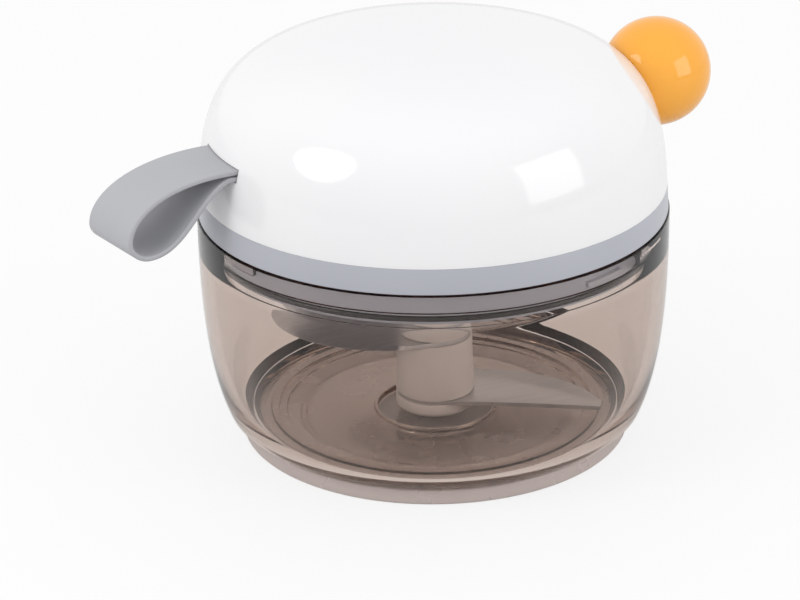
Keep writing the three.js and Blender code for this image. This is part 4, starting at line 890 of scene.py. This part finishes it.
def blade_outline():
    """The blade's back, its front and the round of its root."""
    hub = BLADE_HUB_RADIUS
    back_pulls = [(out * BLADE_REACH, up * hub) for out, up in BLADE_BACK_SHARES]
    back = bend((0, hub), *back_pulls, (BLADE_REACH, -BLADE_SWEEP), BLADE_BACK_STEPS)
    start = (BLADE_REACH - BLADE_TIP_SLANT_SHARE * BLADE_TIP_WIDTH, -BLADE_SWEEP - BLADE_TIP_WIDTH)
    pull = (BLADE_FRONT_SHARES[0] * BLADE_REACH, -BLADE_FRONT_SHARES[1] * hub)
    front = []
    for i in range(BLADE_FRONT_STEPS + 1):
        t = i / BLADE_FRONT_STEPS
        weights = ((1 - t) ** 2, 2 * t * (1 - t), t * t)
        corners = (start, pull, (0, -hub))
        front.append(tuple(sum(w * c[a] for w, c in zip(weights, corners)) for a in (0, 1)))
    root = arc(hub, -90, -270, BLADE_ROOT_STEPS)[1:]
    return back, front, root


def blade_mesh():
    """A sickle blade, ground thin along its back up to the tip."""
    back, front, root = blade_outline()
    outline = back + front + root
    count = len(outline)
    inset = []
    for i, point in enumerate(outline):
        width = BLADE_EDGE
        if BLADE_GRIND_START < i < len(back) - 1:
            width = BLADE_GRIND_WIDTH * min(1, (i - BLADE_GRIND_START) / BLADE_GRIND_EASE)
        along = (Vector(outline[(i + 1) % count]) - Vector(outline[i - 1])).normalized()
        inset.append(tuple(Vector(point) + Vector((along.y, -along.x)) * width))
    points = [(x, y, BLADE_EDGE) for x, y in outline]
    points += [(x, y, BLADE_THICKNESS) for x, y in inset]
    points += [(*(Vector(point) * BLADE_UNDERSIDE_SHARE), 0) for point in outline]
    faces = []
    for i in range(count):
        j = (i + 1) % count
        faces.append([i, j, count + j, count + i])
        faces.append([2 * count + i, 2 * count + j, j, i])
    faces.append(list(range(count, 2 * count)))
    faces.append(list(range(2 * count, 3 * count)))
    hole = arc(SPIGOT_RADIUS + SHAFT_GAP, 0, 360, BLADE_HOLE_STEPS)[:-1]
    cut = prism(hole, -CUT_OVERRUN, BLADE_THICKNESS + CUT_OVERRUN)
    return combine(mesh_from(points, faces), [("DIFFERENCE", cut)])


# Pieces of the lid, whose heights start at its seat on the bowl

def seal_mesh():
    inner = SKIRT_RADIUS - SEAL_GROOVE_DEPTH + SEAL_SEAT_GAP
    bottom = -SKIRT_DEPTH + SEAL_LIP + STACK_GAP
    profile = [
        (inner, bottom, FINE_FILLET),
        (SEAL_RADIUS, bottom, SEAL_FILLET),
        (SEAL_RADIUS, bottom + SEAL_HEIGHT, SEAL_FILLET),
        (inner, bottom + SEAL_HEIGHT, FINE_FILLET),
    ]
    return revolve(soften(profile))


def snap_bead(radius):
    """A small bead with which the dome and the ring hold each other."""
    top = RING_HEIGHT - SNAP_DEPTH
    return [(radius, top), (radius + SNAP_BEAD, top - SNAP_WIDTH / 2), (radius, top - SNAP_WIDTH)]


def lid_base_mesh():
    skirt_bore = SKIRT_RADIUS - SKIRT_WALL
    groove = SKIRT_RADIUS - SEAL_GROOVE_DEPTH
    groove_bottom = -SKIRT_DEPTH + SEAL_LIP
    groove_top = groove_bottom + SEAL_HEIGHT + 2 * STACK_GAP
    ring_bore = RING_RADIUS - RING_WALL
    plate_bottom = -PLATE_TOP_DROP - PLATE_THICKNESS
    profile = [
        (HUB_BORE_RADIUS, -HUB_DROP),
        (HUB_RADIUS, -HUB_DROP, RIM_FILLET),
        (HUB_RADIUS, plate_bottom),
        (skirt_bore, plate_bottom),
        (skirt_bore, -SKIRT_DEPTH),
        (SKIRT_RADIUS, -SKIRT_DEPTH),
        (SKIRT_RADIUS, groove_bottom),
        (groove, groove_bottom),
        (groove, groove_top),
        (SKIRT_RADIUS, groove_top),
        (SKIRT_RADIUS, 0),
        (RING_RADIUS, 0, FINE_FILLET),
        (RING_TOP_RADIUS, RING_HEIGHT, EDGE_FILLET),
        (ring_bore, RING_HEIGHT),
        *snap_bead(ring_bore),
        (ring_bore, RING_FLOOR),
        (skirt_bore, RING_FLOOR),
        (skirt_bore, -PLATE_TOP_DROP),
        (HUB_RADIUS, -PLATE_TOP_DROP),
        (HUB_RADIUS, HUB_RISE),
        (HUB_BORE_RADIUS, HUB_RISE),
    ]
    tab_bottom = LUG_TOP - LUG_HEIGHT - RUNNING_GAP - LID_SEAT - TAB_HEIGHT
    steps = bayonet_steps(
        SKIRT_RADIUS - SKIRT_WALL / 2,
        RIM_BORE_RADIUS - RUNNING_GAP,
        tab_bottom,
        TAB_HEIGHT,
        BAYONET_ANGLE - LID_TURN_ANGLE,
    )
    post_bottom = plate_bottom + PLATE_THICKNESS / 2
    post_profile = soften([
        (POST_BORE_RADIUS, post_bottom),
        (POST_RADIUS, post_bottom),
        (POST_RADIUS, POST_TOP),
        (POST_BORE_RADIUS, POST_TOP),
    ])
    for angle in spread_angles(POST_COUNT, POST_ANGLE):
        post = moved(revolve(post_profile, SMALL_ROUND_STEPS), about(angle, "Z") @ at(POST_CIRCLE_RADIUS))
        steps.append(("UNION", post))
    return combine(revolve(soften(profile)), steps)


def crown(inset, bottom):
    """The dome's outline from the axis down to its lower edge."""
    radius = RING_TOP_RADIUS - inset
    top = DOME_HEIGHT - inset
    side = (CROWN_SIDE_SHARES[0] * radius, bottom + CROWN_SIDE_SHARES[1] * (top - bottom))
    return bend((0, top), (CROWN_TOP_SHARE * radius, top), side, (radius, bottom), CROWN_STEPS)


def pull_frame():
    """Stands a piece with its axis along X, at the pull ball's place."""
    return at(BALL_CENTRE, 0, PULL_HEIGHT) @ about(90, "Y")


def ball_arc(radius, start, end, steps):
    """(radius, height) pairs on a ball, between two angles in radians from its outer pole."""
    angles = [start + (end - start) * i / steps for i in range(steps + 1)]
    return [(radius * math.sin(angle), radius * math.cos(angle)) for angle in angles]


def ball_solid(radius):
    steps = SMALL_ROUND_STEPS
    outline = ball_arc(radius, math.pi, 0, steps)
    outline[0] = (0, -radius)
    outline[-1] = (0, radius)
    return moved(revolve(outline, 2 * steps), pull_frame())


def dome_mesh():
    bottom = RING_HEIGHT + DOME_PARTING_GAP
    inner_bottom = bottom + DOME_WALL
    spigot = RING_RADIUS - RING_WALL - RUNNING_GAP
    spigot_bottom = bottom - DOME_SPIGOT_LENGTH
    profile = [
        *crown(0, bottom)[:-1],
        (RING_TOP_RADIUS, bottom, EDGE_FILLET),
        (spigot, bottom),
        *snap_bead(spigot),
        (spigot, spigot_bottom),
        (spigot - DOME_SPIGOT_WALL, spigot_bottom),
        (spigot - DOME_SPIGOT_WALL, inner_bottom),
        *crown(DOME_WALL, inner_bottom)[::-1],
    ]
    filled = revolve(crown(0, bottom) + [(0, bottom)])
    cup = combine(ball_solid(BALL_RADIUS + RUNNING_GAP + CUP_WALL), [("INTERSECT", filled)])
    hole = revolve([(0, -BALL_CENTRE), (GUIDE_HOLE_RADIUS, -BALL_CENTRE), (GUIDE_HOLE_RADIUS, 0), (0, 0)])
    steps = [
        ("UNION", cup),
        ("DIFFERENCE", ball_solid(BALL_RADIUS + RUNNING_GAP)),
        ("DIFFERENCE", moved(hole, pull_frame())),
        *strap_anchorage(bottom),
    ]
    return combine(revolve(soften(profile, closed=False)), steps)


def strap_anchorage(dome_bottom):
    """What the strap needs in the dome: two ears, the bar's hole through them and the slot."""
    inside = STRAP_WIDTH / 2 + RUNNING_GAP
    outside = inside + ANCHOR_EAR_THICKNESS
    front = -ANCHOR_PLACE + ANCHOR_EAR_RADIUS
    ear_bottom = STRAP_SLOT_HEIGHT - ANCHOR_EAR_RADIUS
    ear_top = STRAP_SLOT_HEIGHT + ANCHOR_EAR_RADIUS
    askew = about(STRAP_ANGLE, "Z")
    steps = []
    for low, high in ((inside, outside), (-outside, -inside)):
        ear = prism(rectangle(-RING_TOP_RADIUS, front, low, high), ear_bottom, ear_top)
        filled = revolve(crown(RIM_FILLET, dome_bottom) + [(0, dome_bottom)])
        steps.append(("UNION", combine(moved(ear, askew), [("INTERSECT", filled)])))
    hole_radius = ANCHOR_RADIUS + SHAFT_GAP
    hole_end = outside + CUT_OVERRUN
    hole = revolve([(0, -hole_end), (hole_radius, -hole_end), (hole_radius, hole_end), (0, hole_end)])
    hole_place = askew @ at(-ANCHOR_PLACE, 0, STRAP_SLOT_HEIGHT) @ about(90, "X")
    half = STRAP_PLY_GAP / 2 + STRAP_THICKNESS + STRAP_SLOT_GAP
    slot_outline = rectangle(-RING_TOP_RADIUS - CUT_OVERRUN, -ANCHOR_PLACE, -inside, inside)
    slot = prism(slot_outline, STRAP_SLOT_HEIGHT - half, STRAP_SLOT_HEIGHT + half)
    return [*steps, ("DIFFERENCE", moved(hole, hole_place)), ("DIFFERENCE", moved(slot, askew))]


def pull_ball_mesh():
    near = math.pi - math.asin(BALL_BORE_RADIUS / BALL_RADIUS)
    far = math.asin(BALL_POCKET_RADIUS / BALL_RADIUS)
    profile = [
        *ball_arc(BALL_RADIUS, near, far, BALL_STEPS),
        (BALL_POCKET_RADIUS, BALL_POCKET_START),
        (BALL_BORE_RADIUS, BALL_POCKET_START),
    ]
    return moved(revolve(soften(profile)), pull_frame())


def ball_plug_mesh():
    radius = BALL_POCKET_RADIUS - SHAFT_GAP
    rim_angle = math.asin(radius / BALL_RADIUS)
    seat = BALL_RADIUS * math.cos(rim_angle) - PLUG_THICKNESS
    profile = [(0, seat), (radius, seat), *ball_arc(BALL_RADIUS, rim_angle, 0, CORNER_STEPS)]
    profile[-1] = (0, BALL_RADIUS)
    return moved(revolve(soften(profile, FINE_FILLET, closed=False), SMALL_ROUND_STEPS), pull_frame())


# Finger strap

def strap_line():
    """Centre line of the band in (x, z) pairs: round the bar, out, round the tip and back."""
    spread = (STRAP_PLY_GAP + STRAP_THICKNESS) / 2
    top, bottom = STRAP_SLOT_HEIGHT + spread, STRAP_SLOT_HEIGHT - spread

    def place(out, down):
        return (-STRAP_MOUTH - out * STRAP_REACH, top - down * STRAP_DROP)

    def to_corner(share):
        return share + STRAP_TIP_SHARE * (1 - share)

    far, low = place(1, STRAP_FAR_SHARE), place(STRAP_LOW_SHARE, 1)
    upper_out, upper_down = STRAP_UPPER_SHARES
    low_out, lower_out, lower_down = STRAP_LOWER_SHARES
    upper = bend(place(0, 0), place(upper_out, 0), place(1, upper_down), far, STRAP_CURVE_STEPS)
    tip_pulls = (place(1, to_corner(STRAP_FAR_SHARE)), place(to_corner(STRAP_LOW_SHARE), 1))
    tip = bend(far, *tip_pulls, low, STRAP_TURN_STEPS)
    lower_pulls = (place(low_out, 1), place(lower_out, lower_down))
    lower = bend(low, *lower_pulls, (-STRAP_MOUTH, bottom), STRAP_CURVE_STEPS)
    wrap_radius = ANCHOR_RADIUS + RUNNING_GAP + STRAP_THICKNESS / 2
    wrap = [
        (x - ANCHOR_PLACE, z + STRAP_SLOT_HEIGHT)
        for x, z in arc(wrap_radius, -WRAP_ANGLE, WRAP_ANGLE, STRAP_TURN_STEPS)
    ]
    return [*wrap, (-STRAP_NECK, top), *upper, *tip[1:], *lower[1:], (-STRAP_NECK, bottom)]


def hang(x, y, z):
    """Moves a place on the straight band to where it hangs: further out and lower at the back."""
    out = max(0, (-x - STRAP_MOUTH) / STRAP_REACH)
    back = 1 / 2 + y / STRAP_WIDTH
    return (x - out * back * STRAP_BACK_REACH, y, z - out * back * STRAP_BACK_DROP)


def strap_section():
    """The band's cross-section with rounded corners, in (across, up) pairs."""
    across = STRAP_WIDTH / 2 - STRAP_EDGE
    up = STRAP_THICKNESS / 2 - STRAP_SKIN_GAP - STRAP_EDGE
    corners = ((across, up, 0), (-across, up, 90), (-across, -up, 180), (across, -up, 270))
    section = []
    for x, z, start in corners:
        section += [(x + dx, z + dz) for dx, dz in arc(STRAP_EDGE, start, start + 90, STRAP_EDGE_STEPS)]
    return section


def strap_mesh():
    line = [Vector(pair) for pair in strap_line()]
    section = strap_section()
    count, size = len(line), len(section)
    points, faces = [], []
    for i, here in enumerate(line):
        along = (line[(i + 1) % count] - line[i - 1]).normalized()
        normal = Vector((-along.y, along.x))
        for across, up in section:
            spot = here + normal * up
            points.append(hang(spot.x, across, spot.y))
    for i in range(count):
        j = (i + 1) % count
        for k in range(size):
            m = (k + 1) % size
            faces.append([i * size + k, i * size + m, j * size + m, j * size + k])
    return moved(mesh_from(points, faces), about(STRAP_ANGLE, "Z"))


# Cord from the spool to the ball

def tube_mesh(path, radius, sides):
    """A round tube along a path of points, closed at both ends."""
    points, faces = [], []
    count = len(path)
    for i, here in enumerate(path):
        along = (path[min(i + 1, count - 1)] - path[max(i - 1, 0)]).normalized()
        side = along.cross(Vector((0, 0, 1))).normalized()
        up = side.cross(along)
        for x, y in arc(radius, 0, 360, sides)[:-1]:
            points.append(tuple(here + side * x + up * y))
    for i in range(count - 1):
        for k in range(sides):
            m = (k + 1) % sides
            faces.append([i * sides + k, i * sides + m, (i + 1) * sides + m, (i + 1) * sides + k])
    faces.append(list(range(sides)))
    faces.append([(count - 1) * sides + k for k in range(sides)])
    return mesh_from(points, faces)


def cord_lead_mesh():
    """The cord leaves the winding on a tangent and bends into the guide."""
    height = LID_SEAT + PULL_HEIGHT
    angle = math.acos(WINDING_RADIUS / LEAD_CORNER)
    leave = Vector((WINDING_RADIUS * math.cos(angle), -WINDING_RADIUS * math.sin(angle), height))
    corner = Vector((LEAD_CORNER, 0, height))
    end = Vector((LEAD_END, 0, height))
    start = leave + (corner - leave).normalized() * RUNNING_GAP
    inward = corner + (start - corner).normalized() * LEAD_BEND
    outward = corner + (end - corner).normalized() * LEAD_BEND
    path = [start.lerp(inward, i / LEAD_LEAVE_STEPS) for i in range(LEAD_LEAVE_STEPS)]
    path += corner_curve(inward, corner, outward, LEAD_BEND_STEPS)
    path += [outward.lerp(end, i / LEAD_STEPS) for i in range(1, LEAD_STEPS + 1)]
    return tube_mesh(path, CORD_RADIUS, LEAD_SIDES)


# Everything in its place

clear = smoked_clear()
white = glossy_white()
grey = grey_shell()
silicone = grey_silicone()
rubber = dark_rubber()
foot = foot_silicone()
orange = orange_gloss()
stem = stem_plastic()
blade_metal = blade_steel()
steel = turned_steel()
bronze = sintered_bronze()
spool_plastic = inner_plastic("spool_plastic", (0.74, 0.73, 0.70), (0.80, 0.79, 0.76))
gear_plastic = inner_plastic("gear_plastic", (0.62, 0.60, 0.54), (0.68, 0.66, 0.60))
cord = braided_cord()

for node, material in {
    "pivot_pin": steel,
    "shaft_bush": bronze,
    "drive_shaft": steel,
    "shaft_clip": steel,
    "ratchet_wheel": gear_plastic,
    "pawl_1": gear_plastic,
    "pawl_2": gear_plastic,
    "spool": spool_plastic,
    "cord_winding": cord,
    "mainspring": steel,
    "spool_bridge": spool_plastic,
    "arbor_screw": steel,
    "bridge_screw_1": steel,
    "bridge_screw_2": steel,
    "bridge_screw_3": steel,
    "cord_guide": steel,
    "cord_knot": cord,
    "strap_bar": steel,
}.items():
    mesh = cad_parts[node].data
    mesh.materials.clear()
    mesh.materials.append(material)

finish_mesh("bowl_shell", "bowl", bowl_mesh(), clear, ["bowl"])
finish_mesh("foot", "bowl", foot_mesh(), foot, ["nonslip_base"])

for name, mesh, height, turn, material, node, slot in (
    ("stem_foot", foot_cap_mesh(), 0, 0, stem, "blade_foot_cap", "stem_plastic"),
    ("stem_lower", lower_stem_mesh(), LOWER_STEM, 0, stem, "lower_stem", "stem_plastic"),
    ("stem_upper", upper_stem_mesh(), UPPER_STEM, 0, stem, "upper_stem", "stem_plastic"),
    ("blade_lower", blade_mesh(), LOWER_BLADE, 0, blade_metal, "lower_blade", "blade_steel"),
    ("blade_upper", blade_mesh(), UPPER_BLADE, 180, blade_metal, "upper_blade", "blade_steel"),
):
    place = at(0, 0, STACK_BOTTOM + height) @ about(BLADE_ANGLE + turn, "Z")
    finish_mesh(name, "blades", moved(mesh, place), material, [node])

seat = at(0, 0, LID_SEAT)
finish_mesh("seal", "lid_seal", moved(seal_mesh(), seat), rubber, ["lid_seal"])
finish_mesh("lid_ring", "lid", moved(lid_base_mesh(), seat), grey, ["lid_base"])
finish_mesh("dome", "lid", moved(dome_mesh(), seat), white, ["dome_cover"])
finish_mesh("strap", "lid", moved(strap_mesh(), seat), silicone, ["finger_strap"])
finish_mesh("ball", "pull_ball", moved(pull_ball_mesh(), seat), orange, ["pull_ball"])
finish_mesh("ball_cap", "pull_ball", moved(ball_plug_mesh(), seat), orange, ["ball_plug"])

lead_mesh = cord_lead_mesh()
shade(lead_mesh)
lead_mesh.materials.append(cord)
lead = put("lead", lead_mesh)
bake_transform(lead)
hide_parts("cord_lead")


# Studio

def studio_world():
    """White to the camera, in gloss and through the bowl. A softer white lights the object, and what
    stands in the smoked bowl gets back some of the light that the bowl takes away."""
    world = bpy.data.worlds.new("studio")
    bpy.context.scene.world = world
    world.use_nodes = True
    nodes, links = world.node_tree.nodes, world.node_tree.links
    nodes.clear()
    paths = nodes.new("ShaderNodeLightPath")

    def combined(operation, *values):
        node = nodes.new("ShaderNodeMath")
        node.operation = operation
        for socket, value in zip(node.inputs, values):
            if isinstance(value, bpy.types.NodeSocket):
                links.new(value, socket)
            else:
                socket.default_value = value
        return node.outputs["Value"]

    through = paths.outputs["Is Transmission Ray"]
    seen = combined("MAXIMUM", paths.outputs["Is Camera Ray"], through)
    seen = combined("MAXIMUM", seen, paths.outputs["Is Glossy Ray"])
    inside = combined("MULTIPLY", through, combined("MINIMUM", paths.outputs["Diffuse Depth"], 1))
    level = combined("MULTIPLY_ADD", seen, BACKDROP_LEVEL - LIGHT_LEVEL, LIGHT_LEVEL)
    level = combined("MULTIPLY_ADD", inside, INSIDE_LEVEL - BACKDROP_LEVEL, level)
    backdrop = nodes.new("ShaderNodeBackground")
    backdrop.inputs["Color"].default_value = (1, 1, 1, 1)
    links.new(level, backdrop.inputs["Strength"])
    out = nodes.new("ShaderNodeOutputWorld")
    links.new(backdrop.outputs["Background"], out.inputs["Surface"])


def floor_paint():
    """Pale and matt, darker where light bounces off it, and glowing where it is seen."""
    material = new_material("floor")
    vary_roughness(material, low=0.5, high=0.7, scale=6)
    paths = add_node(material, "ShaderNodeLightPath")
    colour = add_node(material, "ShaderNodeMapRange", To_Min=FLOOR_COLOUR, To_Max=FLOOR_BOUNCE_COLOUR)
    link(material, paths, "Is Diffuse Ray", colour, "Value")
    link(material, colour, "Result", shader_of(material), "Base Color")
    seen = add_node(material, "ShaderNodeMath", "MAXIMUM")
    link(material, paths, "Is Camera Ray", seen, 0)
    link(material, paths, "Is Transmission Ray", seen, 1)
    share = add_node(material, "ShaderNodeMath", "MULTIPLY")
    share.inputs[1].default_value = FLOOR_GLOW_SHARE
    link(material, seen, "Value", share, 0)
    glow = add_node(material, "ShaderNodeEmission", Color=(1, 1, 1, 1), Strength=BACKDROP_LEVEL)
    mix = add_node(material, "ShaderNodeMixShader")
    link(material, share, "Value", mix, "Fac")
    link(material, shader_of(material), "BSDF", mix, 1)
    link(material, glow, "Emission", mix, 2)
    link(material, mix, "Shader", material.node_tree.nodes["Material Output"], "Surface")
    return material


def pale_floor():
    """A floor that the camera sees nearly white, with the object's shadow on it."""
    mesh = bpy.data.meshes.new("floor")
    half = FLOOR_HALF_WIDTH
    corners = [(x, y, 0) for x, y in rectangle(-half, half, -half, half)]
    mesh.from_pydata(corners, [], [[0, 1, 2, 3]])
    floor = put("floor", mesh)
    floor.location.z = -FLOOR_DROP * MM
    mesh.materials.append(floor_paint())


def lamp(name, direction, power, shape):
    """A soft lamp that looks at the object from a direction in the camera's frame."""
    data = bpy.data.lights.new(name, "AREA")
    data.shape = shape
    data.size = LAMP_SIZE * MM
    data.energy = power
    thing = put(name, data)
    away = (about(CAMERA_AZIMUTH, "Z") @ Vector(direction)).normalized()
    centre = Vector((0, 0, LAMP_AIM_HEIGHT * MM))
    thing.location = centre + away * LAMP_DISTANCE * MM
    thing.rotation_mode = "QUATERNION"
    thing.rotation_quaternion = away.to_track_quat("Z", "Y")


def camera():
    data = bpy.data.cameras.new("camera")
    data.lens = CAMERA_LENS
    data.sensor_width = CAMERA_SENSOR
    data.clip_start = CAMERA_NEAR
    data.clip_end = CAMERA_FAR
    thing = put("camera", data)
    aim = at(*CAMERA_AIM)
    tilt = about(90 - CAMERA_ELEVATION, "X")
    back = at(0, 0, CAMERA_DISTANCE)
    thing.matrix_world = about(CAMERA_AZIMUTH, "Z") @ aim @ tilt @ back @ about(CAMERA_ROLL, "Z")
    bpy.context.scene.camera = thing


def let_light_through():
    """Clear walls pass light on between their faces many times before it leaves them."""
    light_paths = bpy.context.scene.cycles
    light_paths.max_bounces = WALL_BOUNCES
    light_paths.glossy_bounces = WALL_BOUNCES
    light_paths.transmission_bounces = WALL_BOUNCES


studio_world()
pale_floor()
lamp("left_lamp", LEFT_LAMP_DIRECTION, LEFT_LAMP_POWER, "DISK")
lamp("right_lamp", RIGHT_LAMP_DIRECTION, RIGHT_LAMP_POWER, "SQUARE")
camera()
let_light_through()
bpy.context.scene.view_settings.view_transform = "Standard"
